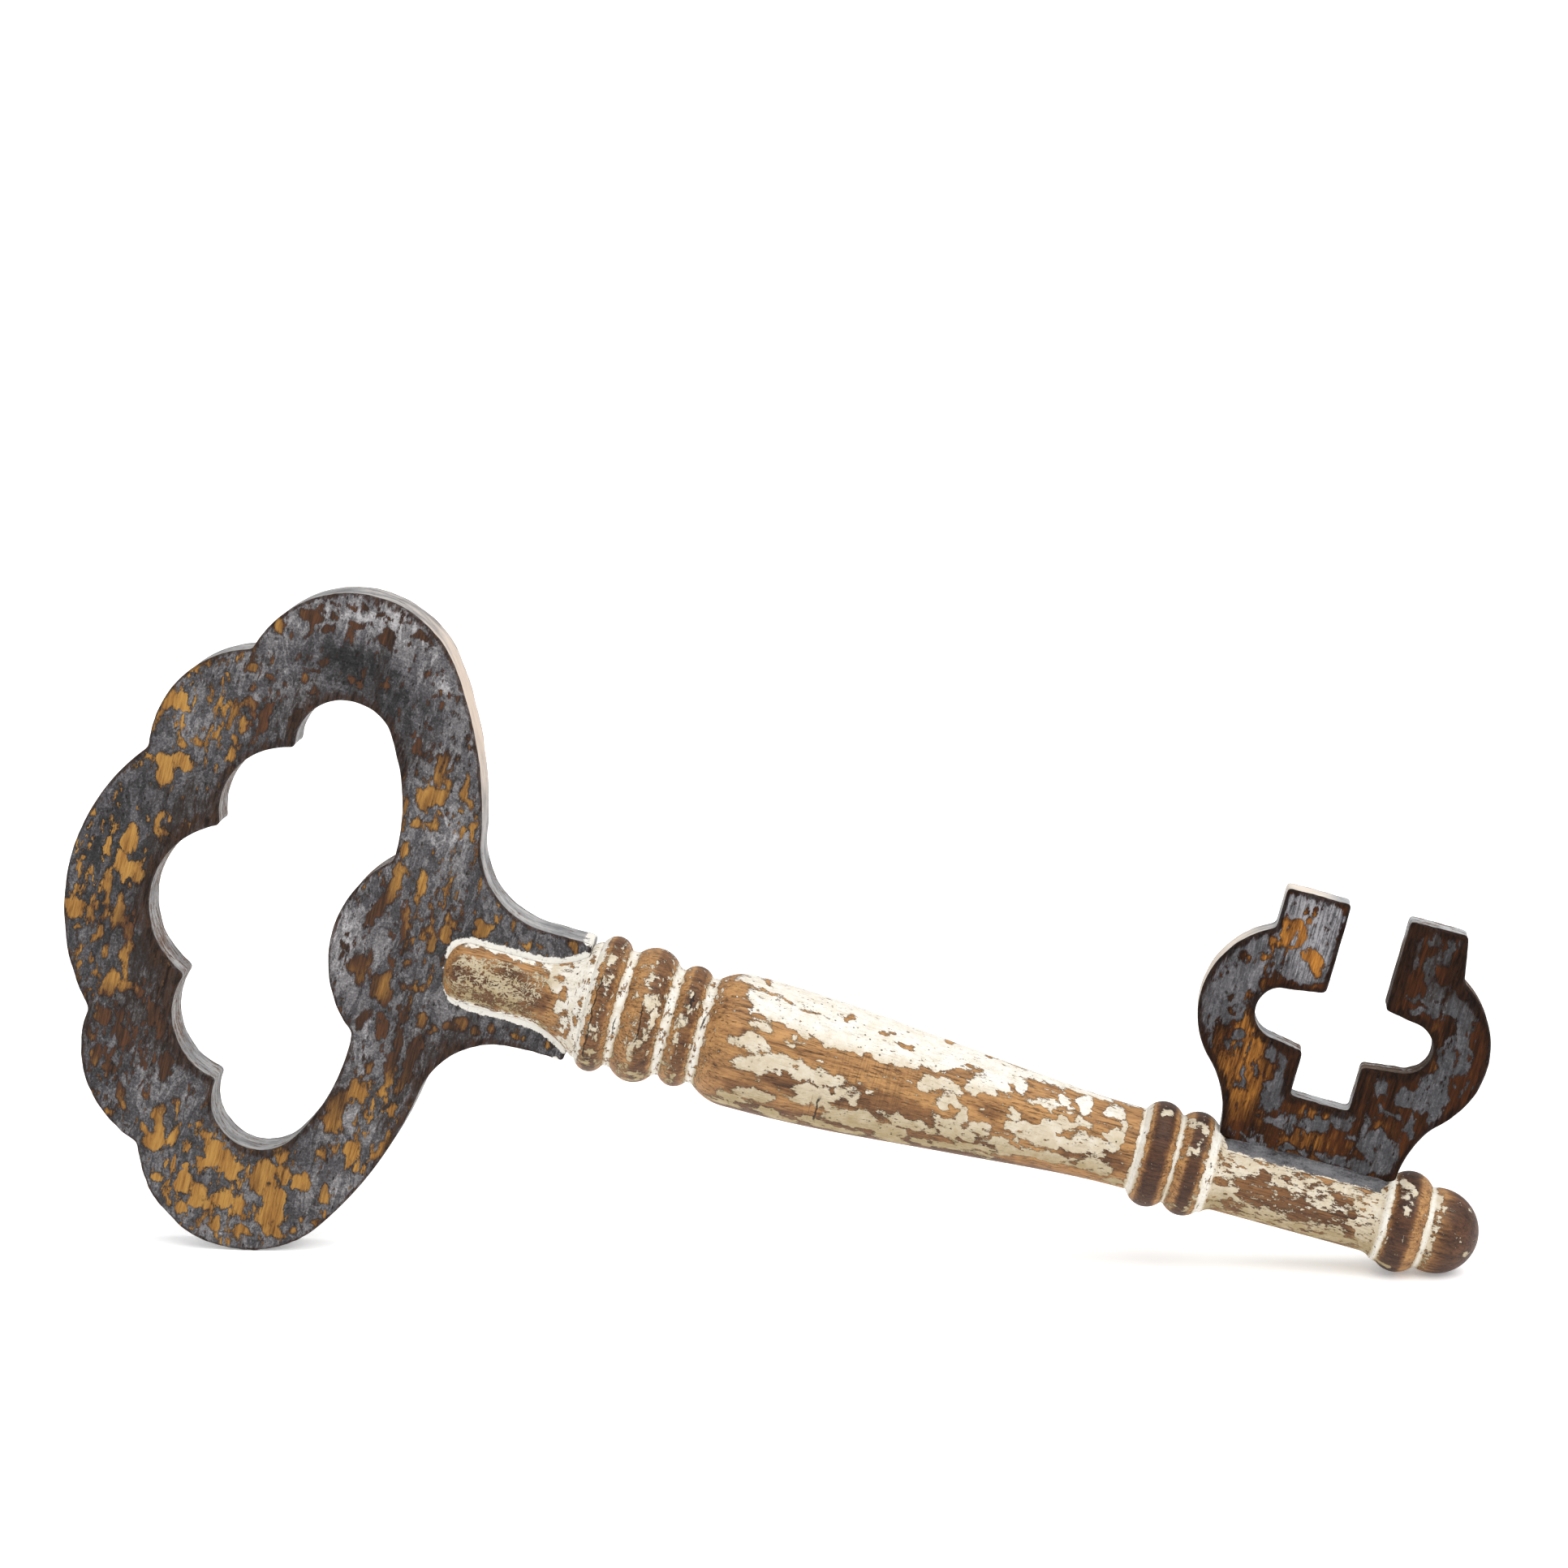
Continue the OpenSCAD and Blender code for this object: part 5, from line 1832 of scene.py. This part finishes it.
def bow_board() -> PlyBoard:
    """The bow's board with its chips, from the upper left lobe round to the neck.

    Returns:
        The board.
    """
    # Each row holds a Mark's numbers: its middle along the shank and up the board,
    # its length along the grain, its width and, where it is turned, its turn.
    chips = (
        (-167, 68, 9, 6), (-163, 68, 5, 5), (-170, 61, 4, 3), (-161, 82, 20, 3, -47),
        (-149, 82, 4, 3), (-150.5, 87, 3, 2), (-141, 86.5, 3, 5), (-134.5, 85, 4, 3),
        (-143.5, 69, 13, 4, -20), (-138, 74, 5, 5), (-138.5, 66, 5, 3), (-132.5, 70, 12, 5, -15),
        (-159.5, 55, 5, 3, 20), (-153, 56, 3, 5), (-150, 57.5, 5, 2), (-145.5, 57, 4, 2),
        (-141.5, 55, 6, 3), (-163, 44, 11, 7), (-157, 47, 6, 8), (-169.5, 45.5, 3, 3),
        (-173.5, 41.5, 3, 1.5), (-160.5, 24, 9, 4), (-157, 21, 4, 2), (-184.5, 21, 4, 4),
        (-169.5, 15, 14, 6), (-176.5, 12, 15, 3), (-171, 6, 6, 6), (-167, 5, 5, 4),
        (-163.5, 4, 8, 3), (-169, 3, 8, 4), (-174, -4, 16, 3), (-174.5, -10, 8, 4),
        (-181.5, -4, 8, 1.5), (-184, -14, 10, 7), (-187, -12, 6, 3), (-180.5, -16, 5, 3),
        (-181, -21, 3, 2), (-176.5, -16, 7, 3), (-172, -13, 6, 3), (-173, -21, 10, 4, -15),
        (-167, -12, 11, 4), (-163, -17, 12, 6), (-169.5, -27, 6, 3), (-161, -28, 16, 4),
        (-158, -38, 5, 11), (-165, -38, 12, 5), (-175.5, -39, 5, 2), (-177, -35, 3, 2),
        (-172, -43, 3, 2), (-184, 4, 4, 3), (-165, -51, 6, 5), (-158.5, -51, 10, 3),
        (-156.5, -56, 8, 5), (-152, -55, 6, 2), (-147, -46, 10, 6), (-144, -48, 8, 3),
        (-170, -57, 4, 2), (-164, -66, 8, 5), (-170, -65, 3, 2), (-158, -69, 5, 4),
        (-147, -63, 6, 3), (-137.5, -64, 10, 4), (-140, -60, 6, 3), (-150.5, -79, 10, 3, 20),
        (-162, -73, 3, 3), (-163, -79, 4, 2), (-155, -85, 4, 4), (-136, -83, 12, 4, 15),
        (-136, -91, 9, 9), (-130, -88, 8, 4), (-141, -88, 4, 4), (-144, -75, 4, 2),
        (-122, -82, 6, 4), (-117, -84, 5, 3), (-113, -90, 10, 12), (-107, -93, 10, 6),
        (-118, -94, 4, 4), (-122, -97, 3, 4), (-122, -103, 9, 7), (-116, -107, 9, 8),
        (-107, -105, 9, 6), (-111, -109, 4, 4), (-101, -107, 10, 5), (-133, -103, 4, 4),
        (-127, -110, 7, 3), (-137, -99, 3, 2), (-121, -112, 4, 4), (-109, -115, 4, 5),
        (-98, -115, 4, 8), (-95, -93, 12, 10), (-88, -90, 8, 8), (-82, -92, 9, 7),
        (-89, -99, 8, 9), (-88, -107, 14, 8), (-85, -112, 6, 6), (-90, -84, 6, 6),
        (-80, -110, 4, 4), (-71, -93, 6, 5), (-75.5, -78, 8, 4), (-66, -76, 14, 6, -10),
        (-62, -80, 6, 3), (-75, -62, 20, 9, -12), (-69, -53, 8, 7, -20), (-56, -57, 6, 5),
        (-56.5, -72, 18, 3, -20), (-72, -104, 3, 4), (-59.5, -34, 44, 3.2), (-58.5, -38, 10, 3),
        (-53, -38, 24, 5, -8), (-61, -51, 4, 2), (-64, -60, 4, 2), (-73, -27, 9, 4),
        (-66, -27, 9, 6), (-67.5, -43, 8, 3), (-73, -43, 4, 2), (-78, -8, 14, 6), (-81, -9, 4, 3),
        (-69, -13, 11, 8), (-62, -11, 4, 3), (-55, -9, 6, 5), (-59, -10, 3, 3), (-53, -21, 7, 4),
        (-48, -23, 4, 5), (-39, -18, 4, 5), (-33, -20, 3, 3), (-28, -18, 5, 4), (-18, -17, 2, 4),
        (-7, -18, 5, 3), (-42, -21, 3, 3), (-64, 3.5, 9, 4), (-63, -3, 4, 4), (-67, 12, 18, 3),
        (-66.5, 8, 6, 3), (-56, 7, 9, 6), (-51, 12, 5, 5), (-57, 11, 5, 3), (-52, 19, 10, 3),
        (-50, 16, 5, 4), (-57, 22, 8, 1.5), (-39, 17, 6, 6), (-41.5, 24, 3, 2), (-35.5, 22, 3, 3),
        (-23, 16, 2.5, 5), (-18, 15.5, 2, 3), (-6.5, 19.5, 4, 4), (-75, 21, 26, 5, -22),
        (-79, 12, 8, 4), (-73.5, 30, 6, 3), (-65, 27, 11, 4), (-53.5, 32, 11, 2.5),
        (-56, 38, 8, 2.5), (-55, 48, 9, 2.5), (-70, 58, 9, 7), (-66, 60, 5, 7), (-71, 49, 6, 5),
        (-65, 49, 4, 6), (-63, 54, 3, 3), (-56.5, 62, 10, 4, 10), (-58, 68, 4, 3), (-77, 53, 8, 3),
        (-76, 44, 10, 2.5), (-73.5, 38, 6, 3), (-67, 71, 16, 4), (-63, 65, 6, 3), (-77, 75, 7, 3),
        (-72, 73, 6, 2), (-74, 82, 3, 2), (-66, 82, 4, 3), (-60, 79, 5, 2), (-75.5, 95.5, 3, 3),
        (-78.5, 102, 2.5, 5), (-93, 93, 3, 5), (-67, 96, 3, 2), (-50.5, 50, 16, 2, 10),
        (-97, 110, 5, 6), (-95, 107, 3, 3), (-109, 108, 8, 3), (-109, 112, 3, 7),
        (-124.5, 111, 5, 8), (-124, 106, 4, 2), (-134.5, 104.5, 7, 4, -20), (-117, 107, 4, 4),
        (-103, 95, 4, 3), (-104, 92, 4, 3), (-122, 73, 8, 5), (-118, 78, 4, 2), (-117, 84.5, 3, 4),
        (-122, 88, 3, 3), (-117, 96, 6, 1.5), (-119, 92, 1.5, 5), (-110, 83, 3, 3),
        (-127, 79, 3, 2), (-85, 114, 4, 4), (-100, 117, 1.8, 5), (-106, 117.5, 1.5, 4),
        (-112, 117, 1.8, 6), (-118, 116, 1.6, 4), (-123, 115, 1.5, 3), (-93, 116, 1.8, 4),
        (-104, 113.5, 2, 2.5), (-116, 112.5, 1.6, 2), (-88, 110, 2, 1.6), (-90, 117.5, 1.5, 3),
        (-84.5, 15, 4, 1.6, -15), (-85.5, 2.5, 2.5, 1.5), (-86.5, -4.5, 5, 1.8, -15),
        (-90, 12, 2, 1), (-78, 24, 3, 1.5), (-79, -28, 2.5, 1),
    )
    return PlyBoard(
        node="bow_board",
        slot="grey_painted_plywood",
        seed=3,
        sweep_centre=(-110.0, 0.0),
        chips=chips,
        white_marks=((-1.5, 24, 8, 3.5), (-2.0, -24.5, 6, 5), (-1, 26.5, 5, 5)),
        dark=Strength(0.3, (
            (-105, 114, 34, 1.0), (-122, 75, 12, 0.7), (-78, 5, 13, 0.7), (-70, -32, 14, 0.75),
            (-52, -38, 12, 0.7), (-62, -72, 12, -0.2), (-140, -60, 14, 0.65),
            (-160, -60, 15, 0.35), (-77, 75, 8, 0.6), (-150, -48, 12, 0.45), (-66, 82, 8, 0.4),
            (-68, 60, 20, 0.1), (-150, -50, 28, 0.25), (-75, -61, 10, 0.5), (-60, -55, 14, -0.35),
            (-88, 2, 12, 0.5), (-60, 5, 18, 0.15), (-40, -20, 16, 0.3), (-165, 45, 12, -0.35),
            (-178, 6, 16, -0.35), (-161, -16, 9, 0.5), (-112, -102, 18, -0.4),
            (-162, 68, 10, -0.3), (-138, -88, 10, -0.2),
        )),
        pale=Strength(0.4, (
            (-88, 0, 13, 1.0), (-157, 73, 15, 0.2), (-128, 106, 10, 0.8), (-112, 114, 10, 1.2),
            (-94, 116, 12, 1.3), (-74, 100, 12, 0.8), (-118, 84, 9, 0.6), (-102, 97, 15, -1.2),
            (-118, 98, 10, -0.4), (-84, 88, 12, -0.6), (-66, 74, 12, 0.6), (-60, 48, 14, 0.55),
            (-76, 24, 10, 0.4), (-72, -42, 16, 0.3), (-64, -64, 12, 0.4), (-140, -72, 10, 0.4),
            (-175, 0, 25, -0.55), (-165, 38, 16, -0.4), (-170, -45, 18, -0.2), (-25, 18, 25, -0.1),
            (-20, -18, 20, -0.2), (-66, -92, 14, 0.3), (-100, -116, 20, 0.3),
        )),
        worn=Strength(0.25, (
            (-178, -10, 28, 0.4), (-150, 76, 22, 0.6), (-155, -60, 24, 0.5), (-110, -105, 26, 0.5),
            (-62, 10, 24, 0.35), (-66, 58, 16, 0.35), (-66, -62, 16, 0.4),
        )),
        burn_mm=Strength(1.1, (
            (-141, 30, 22, 5.0), (-145, 0, 20, 6.0), (-140, -38, 26, 8.0), (-120, 74, 14, 4.0),
            (-100, 78, 16, 3.0), (-75, 72, 12, 2.5), (-78, -50, 14, 2.0), (-52, -36, 15, 4.2),
            (-35, -24, 16, 3.0), (-92, -75, 16, 3.0), (-56, -60, 12, 3.0), (-100, 116, 20, 1.6),
            (-98, 4, 9, 2.2), (-92, -16, 6, 1.2),
        )),
        # Painted light on the walls: less coat in the opening, a painted shade, and more on the upper
        # right, a painted highlight.
        coat_and_light=Strength(0.4, (
            (-112, 3, 50, -1.1), (-55, 95, 40, 0.8),
        )),
    )


def bit_board() -> PlyBoard:
    """The bit's board: dark stain with islands of grey paint and a few golden chips.

    Returns:
        The board.
    """
    islands = (
        (216, 52, 8, 3), (221, 55, 6, 2), (226, 60, 8, 4), (219, 47, 5, 2), (229, 52, 4, 5),
        (232, 66, 6, 5), (225, 48, 5, 1.6), (242, 93, 34, 23), (244, 80, 10, 20),
        (226, 78, 24, 14), (221, 68, 28, 12), (217, 60, 20, 8), (225, 90, 8, 12), (214, 72, 20, 6),
        (241, 48, 6, 5), (246, 47, 8, 3), (246, 35, 16, 6), (249, 33, 10, 3), (234, 38, 9, 2.5),
        (250, 25, 5, 8), (245, 28, 4, 3), (262, 27, 6, 9), (267, 28, 4, 5), (255, 26, 8, 4),
        (272, 31, 6, 9), (276, 27, 3, 5), (281, 46, 6, 2.5), (280, 30, 10, 2),
        (286, 38, 2.5, 16, -26), (288, 24, 16, 10), (283, 26, 8, 6), (292, 20, 8, 5),
        (284, 20, 8, 4), (294, 45, 8, 12), (298, 52, 10, 10), (301, 60, 16, 7), (303, 75, 20, 8),
        (299, 82, 8, 14), (291, 85, 8, 9), (287, 92, 14, 5), (291, 99, 10, 5), (284, 104, 8, 6),
        (296, 104, 5, 4), (302, 48, 14, 8), (295, 36, 8, 3), (281, 96, 10, 3), (286, 76, 4, 8),
        (292, 78, 6, 5), (287, 81, 3, 10), (306, 65, 20, 5), (240, 15.8, 2, 12),
        (256, 16, 2.4, 14), (272, 16.4, 3, 14), (284, 17, 4, 12),
    )
    chips = (
        (234.8, 91.6, 9, 4.4), (238.5, 94.8, 4.4, 5), (240.8, 91, 6, 2.8), (238.0, 87.4, 2.6, 2.4),
        (238, 100.5, 4, 1.6), (243, 101.5, 3, 1.2), (241, 97.5, 2, 1.4), (246.6, 84.4, 8.6, 8.0),
        (248.4, 81.2, 5, 4.4), (250.5, 92.5, 3, 1.6), (247, 96, 2, 1.2), (231.5, 86.5, 4, 2.5),
        (229.5, 81, 2.5, 3), (222.5, 79, 4, 2), (236, 82, 6, 1), (222, 64.5, 3, 3),
        (224, 59.5, 2, 3), (251, 76, 4, 4), (244, 74, 3, 6), (235, 72, 6, 8),
    )
    return PlyBoard(
        node="bit_board",
        slot="stained_plywood",
        thickness=12.0,
        spacing=0.7,
        wall_rows=10,
        arris=1.3,
        corner_wear=5,
        seed=11,
        sweep_centre=(264.0, 62.0),
        back_middle_x=264.0,
        islands=islands,
        chips=chips,
        dark=Strength(1.05, (
            (240, 93, 9, -1.2), (246, 83, 6, -0.9), (229, 80, 6, -0.7), (231, 48, 14, -0.52),
            (238, 30, 12, -0.44), (262, 18, 16, -0.42), (226, 66, 10, -0.45), (287, 24, 10, -0.3),
            (300, 40, 8, -0.25), (298, 60, 10, -0.2),
        )),
        pale=Strength(0.35, (
            (236, 85, 18, 0.4), (240, 102, 13, 1.65), (245, 88, 10, 0.8), (294, 94, 14, -0.5),
            (300, 62, 16, -0.2), (255, 22, 20, 0.1),
        )),
        flecks=Strength(0.55, (
            (226, 62, 16, 0.5), (300, 45, 16, 0.4), (250, 25, 10, 0.3), (290, 92, 10, 0.3),
        )),
        burn_mm=Strength(3.0, (
            (276, 90, 12, 4.0), (300, 92, 10, 4.0), (252, 44, 8, 1.0), (274, 44, 8, 2.0),
            (240, 93, 16, -1.6),
        )),
        # Painted light on the walls: less coat in the slot, a painted shade, and on the right side;
        # more on the left outer wall and the left prong's top, a painted highlight.
        coat_and_light=Strength(0.4, (
            (264, 75, 28, -2.0), (312, 70, 28, -1.5), (215, 75, 25, 1.0), (240, 116, 14, 1.4),
        )),
    )


def turned_shank() -> TurnedShank:
    """The shank with its flakes of white wash, from the tail to the ball.

    Returns:
        The shank.
    """
    # Each row holds a Mark's numbers, with its middle round the shank in degrees.
    washes = (
        (-29, 50, 44, 2.6), (-29, -50, 44, 2.8), (-5, 30, 12, 14), (-1, 10, 8, 6),
        (-10, 46, 16, 4), (-1, -40, 8, 14), (-14, -50, 14, 4), (100, 86, 92, 18), (150, 76, 34, 9),
        (186, 88, 26, 4), (1, 0, 4, 10), (-6, 2, 4, 8), (-2, 60, 8, 20), (8.4, 52, 3, 8),
        (9.4, 42, 1.6, 7), (8, 31, 1.4, 3), (10.4, 34, 1.2, 3), (9.6, 19, 1.4, 6),
        (8, 13, 2.4, 1.6), (8.2, 3, 1.4, 2), (8.6, -8, 2.6, 4), (8, -14, 1.4, 3),
        (8.6, -30, 4.5, 1.8), (10.6, -44, 1.8, 4), (7.6, -48, 1.8, 4), (12.4, -50, 1.4, 4),
        (24.4, 44, 1.6, 7), (26.5, 36, 3, 2), (25.6, 25, 2, 8), (28, 16, 3, 9), (24.4, 30, 3, 3),
        (23.6, 9, 1.6, 5), (26, -1, 3, 3), (23.8, -10, 1.8, 6), (23.2, -20, 2.4, 7),
        (22.8, -36, 1.6, 5), (21.4, -44, 2.4, 5), (25.6, -46, 3, 3), (24, -58, 8, 3),
        (28.6, -54, 2, 4), (38.8, 46, 1.2, 5), (38.2, 22, 3.6, 1.8), (36.8, 18, 1.6, 2),
        (37, 2, 1.6, 4), (36.2, -9, 1.6, 4), (38.5, -54, 5, 3), (40.4, -40, 1.6, 3),
        (36, -34, 2, 5), (103, 66, 88, 27), (62, 55, 5, 10), (76, 3, 36, 5), (92, 1, 14, 3),
        (66, -3, 12, 5), (66, 31, 7, 4), (62.5, 34, 3, 3), (63, 17, 12, 4), (66, 11, 8, 3),
        (57, 12, 2, 4), (73, 10, 5, 2.5), (78, 27, 4, 1.5), (106, 4, 9, 2), (90, -13, 16, 7),
        (102, -10, 8, 6), (86, -22, 12, 4), (95, -20, 4, 6), (70, -30, 12, 4), (62, -42, 12, 6),
        (75, -48, 10, 6), (90, -47, 10, 4), (105, -32, 22, 8), (125, -22, 20, 5),
        (118, -38, 14, 6), (140, -20, 16, 6), (134, -9, 12, 3), (130, -48, 8, 5),
        (140, -44, 12, 5), (150, -38, 18, 4), (60, -55, 12, 6), (100, -55, 20, 6),
        (120, -55, 16, 5), (82, -58, 14, 4), (133, 26, 16, 3), (136, 13, 9, 5), (141, 2, 3, 5),
        (146, 37, 12, 6), (150, 45, 14, 5), (128, 20, 5, 5), (149, -10, 8, 4), (145, -14, 10, 3),
        (164, 0, 12, 8), (172, 8, 8, 6), (160, 18, 5, 3), (170, -8, 18, 4), (180, -5, 14, 5),
        (178, 20, 12, 5), (184, 28, 8, 4), (168, -27, 30, 5), (182, -30, 10, 4), (160, -30, 10, 5),
        (192, -25, 12, 8), (190, 3, 12, 6), (186, 12, 8, 4), (196, 8, 8, 8), (195, 25, 6, 4),
        (160, 55, 5, 8), (176, 50, 6, 6), (183, 60, 6, 10), (194, 60, 6, 8), (164, 85, 30, 6),
        (197, 40, 3, 6), (200, -50, 8, 5), (152, -52, 12, 4), (180, 85, 20, 5), (70, -80, 30, 8),
        (120, -85, 40, 8), (170, -80, 40, 6), (152, 62, 18, 7), (170, 40, 12, 3), (210, 64, 3, 4),
        (213, 70, 3, 4), (222, 66, 3, 3), (225, 58, 2.5, 5), (226, 44, 1.6, 6),
        (224.5, 30, 3, 1.6), (223, 24, 1.6, 3), (228.6, -14, 1.2, 12), (228, -34, 2, 9),
        (222.5, -50, 4, 2), (226, -44, 1.5, 4), (211, -46, 1.4, 4), (212.6, -50, 2, 2),
        (209.5, -54, 2, 3), (262, 42, 60, 9), (262, 24, 58, 4), (236, 0, 8, 28), (290, 0, 9, 28),
        (263, -50, 56, 6), (263, -80, 56, 8), (252, -34, 30, 3.4), (282, -34, 22, 4.2),
        (288, 20, 12, 5), (246, 30, 24, 5), (300, 60, 5, 4), (302.5, 52, 3, 3), (299, 46, 2, 3),
        (302.6, 38, 3, 2), (300.6, 32, 2, 2), (301.6, 26, 1.4, 3), (299, -55, 4, 3),
        (312.6, 50, 2.4, 9), (312.8, 16, 1.6, 10), (312.6, -24, 1.6, 12), (315.5, 44, 2, 3),
        (324, 72, 2, 3), (322, 6, 1.6, 1), (326.5, -16, 1.8, 2.4),
    )
    bare = (
        (-32, 33, 28, 4), (-14, 30, 6, 6), (-13, -8, 7, 9), (-12, -26, 9, 7), (-5, 14, 3, 5),
        (-3, -8, 2, 6), (-5, -16, 4, 4), (-1.5, -30, 2, 6), (2.6, 20, 1.4, 7), (-7, 26, 2.4, 3),
        (-4, -38, 3, 2), (1.6, -12, 1, 5), (72, 63, 8, 2.5), (95, 66, 3, 4), (131, 88, 3, 5),
        (110, 66, 3, 2), (63, 85, 3, 6), (86, 90, 4, 4), (66, 68, 12, 2), (80, 60, 6, 1.6),
        (116, 54, 5, 2.4), (140, 56, 4, 2), (257, -2, 29, 6.4), (275, -8, 11, 5),
        (246, -10, 10, 4.4), (270, 47, 15, 2.6), (279, 24, 9, 4), (247, 17, 9, 4), (236, 4, 6, 2),
        (238, 26, 3, 2), (259, 27, 4, 2), (268, 27, 4, 1.5), (287, 47, 4, 3), (276, -6, 14, 6),
        (250, -4, 16, 5), (243, 8, 5, 5), (283, 3, 5, 3), (285, -22, 3, 3), (255, -36, 6, 2),
        (268, -40, 8, 2), (242, -30, 6, 3),
    )
    browned = (
        (126, -62, 150, 18), (100, -80, 100, 20), (-36, -12, 22, 18), (-22, -10, 26, 14),
        (-26, 14, 18, 8), (-30, 6, 24, 8), (-43, 0, 6, 14), (66, -24, 24, 9), (96, -8, 70, 12),
        (120, -12, 50, 12), (150, 10, 10, 5), (140, -30, 60, 10), (74, -45, 40, 8),
        (190, -15, 30, 12), (262, 0, 56, 20), (262, -30, 50, 12), (62, 20, 8, 8),
        (316, -20, 4, 20),
    )
    return TurnedShank(washes=washes, bare=bare, browned=browned)


def main() -> None:
    """Builds the key and its studio."""
    logging.basicConfig(level=logging.INFO, format="%(name)s: %(message)s")
    for left in list(bpy.data.objects):
        bpy.data.objects.remove(left)
    FRAME.update(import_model())

    painted, edges = ChalkPaintFinish(), SawnEdgeFinish()
    stained = ChalkPaintFinish(
        name="chalk_painted_dark_plywood",
        paint=(
            (0.26, "#2b2a2b"), (0.40, "#3b3a3c"), (0.50, "#4c4b4d"), (0.60, "#656366"),
            (0.74, "#918f92"),
        ),
        gold=("#b57a34", "#774b22", "#38220f"),
        stain=("#472611", "#29160a", "#110905"),
        burnt=("#0f0805", "#2c1a10"),
        burnt_cover=0.85,
        rag_mm=3.6,
        swing_mm=3.6,
        shrink_mm=0.0,
        streak_mm=3.0,
        tone_swing=0.7,
        grain_lines=1.1,
        sheen=0.07,
    )
    # The bit's walls: a paler coat, and a cream that is partly bleached and partly painted highlight.
    bleach_and_highlight = SawnEdgeFinish(
        name="bleached_and_lit_plywood_edge",
        coat_and_light=("#84868a", "#b9bbbd"),
        bleach_and_highlight="#e6d8c8",
        coat_level=0.36,
    )
    shank, bow = turned_shank(), bow_board()
    joint = TailFiller(shank, -1)
    bow.white_line = np.column_stack([joint.path, joint.swell])
    for board, face, wall in ((bow, painted, edges), (bit_board(), stained, bleach_and_highlight)):
        made = board.build()
        made.data.materials.append(face.build())
        made.data.materials.append(wall.build())
        stand_for(made, board.node)
    stand_for(shank.build(WhitewashFinish().build()), shank.node)
    white = FillerFinish("white_wood_filler", "#e6e2da", "#c9c3b6", "#3a3028", "#e4e0d8").build()
    grey = FillerFinish("painted_wood_filler", "#6c6b6e", "#2b292a", "#1d1917", "#d3c9b6").build()
    for side, place in ((-1, "front"), (1, "back")):
        tail = TailFiller(shank, side, f"tail_filler_{place}")
        stand_for(tail.build(white), tail.node)
        foot = BitFiller(side, f"bit_filler_{place}")
        stand_for(foot.build(grey), foot.node)
    Studio().build()


if __name__ == "__main__":
    main()
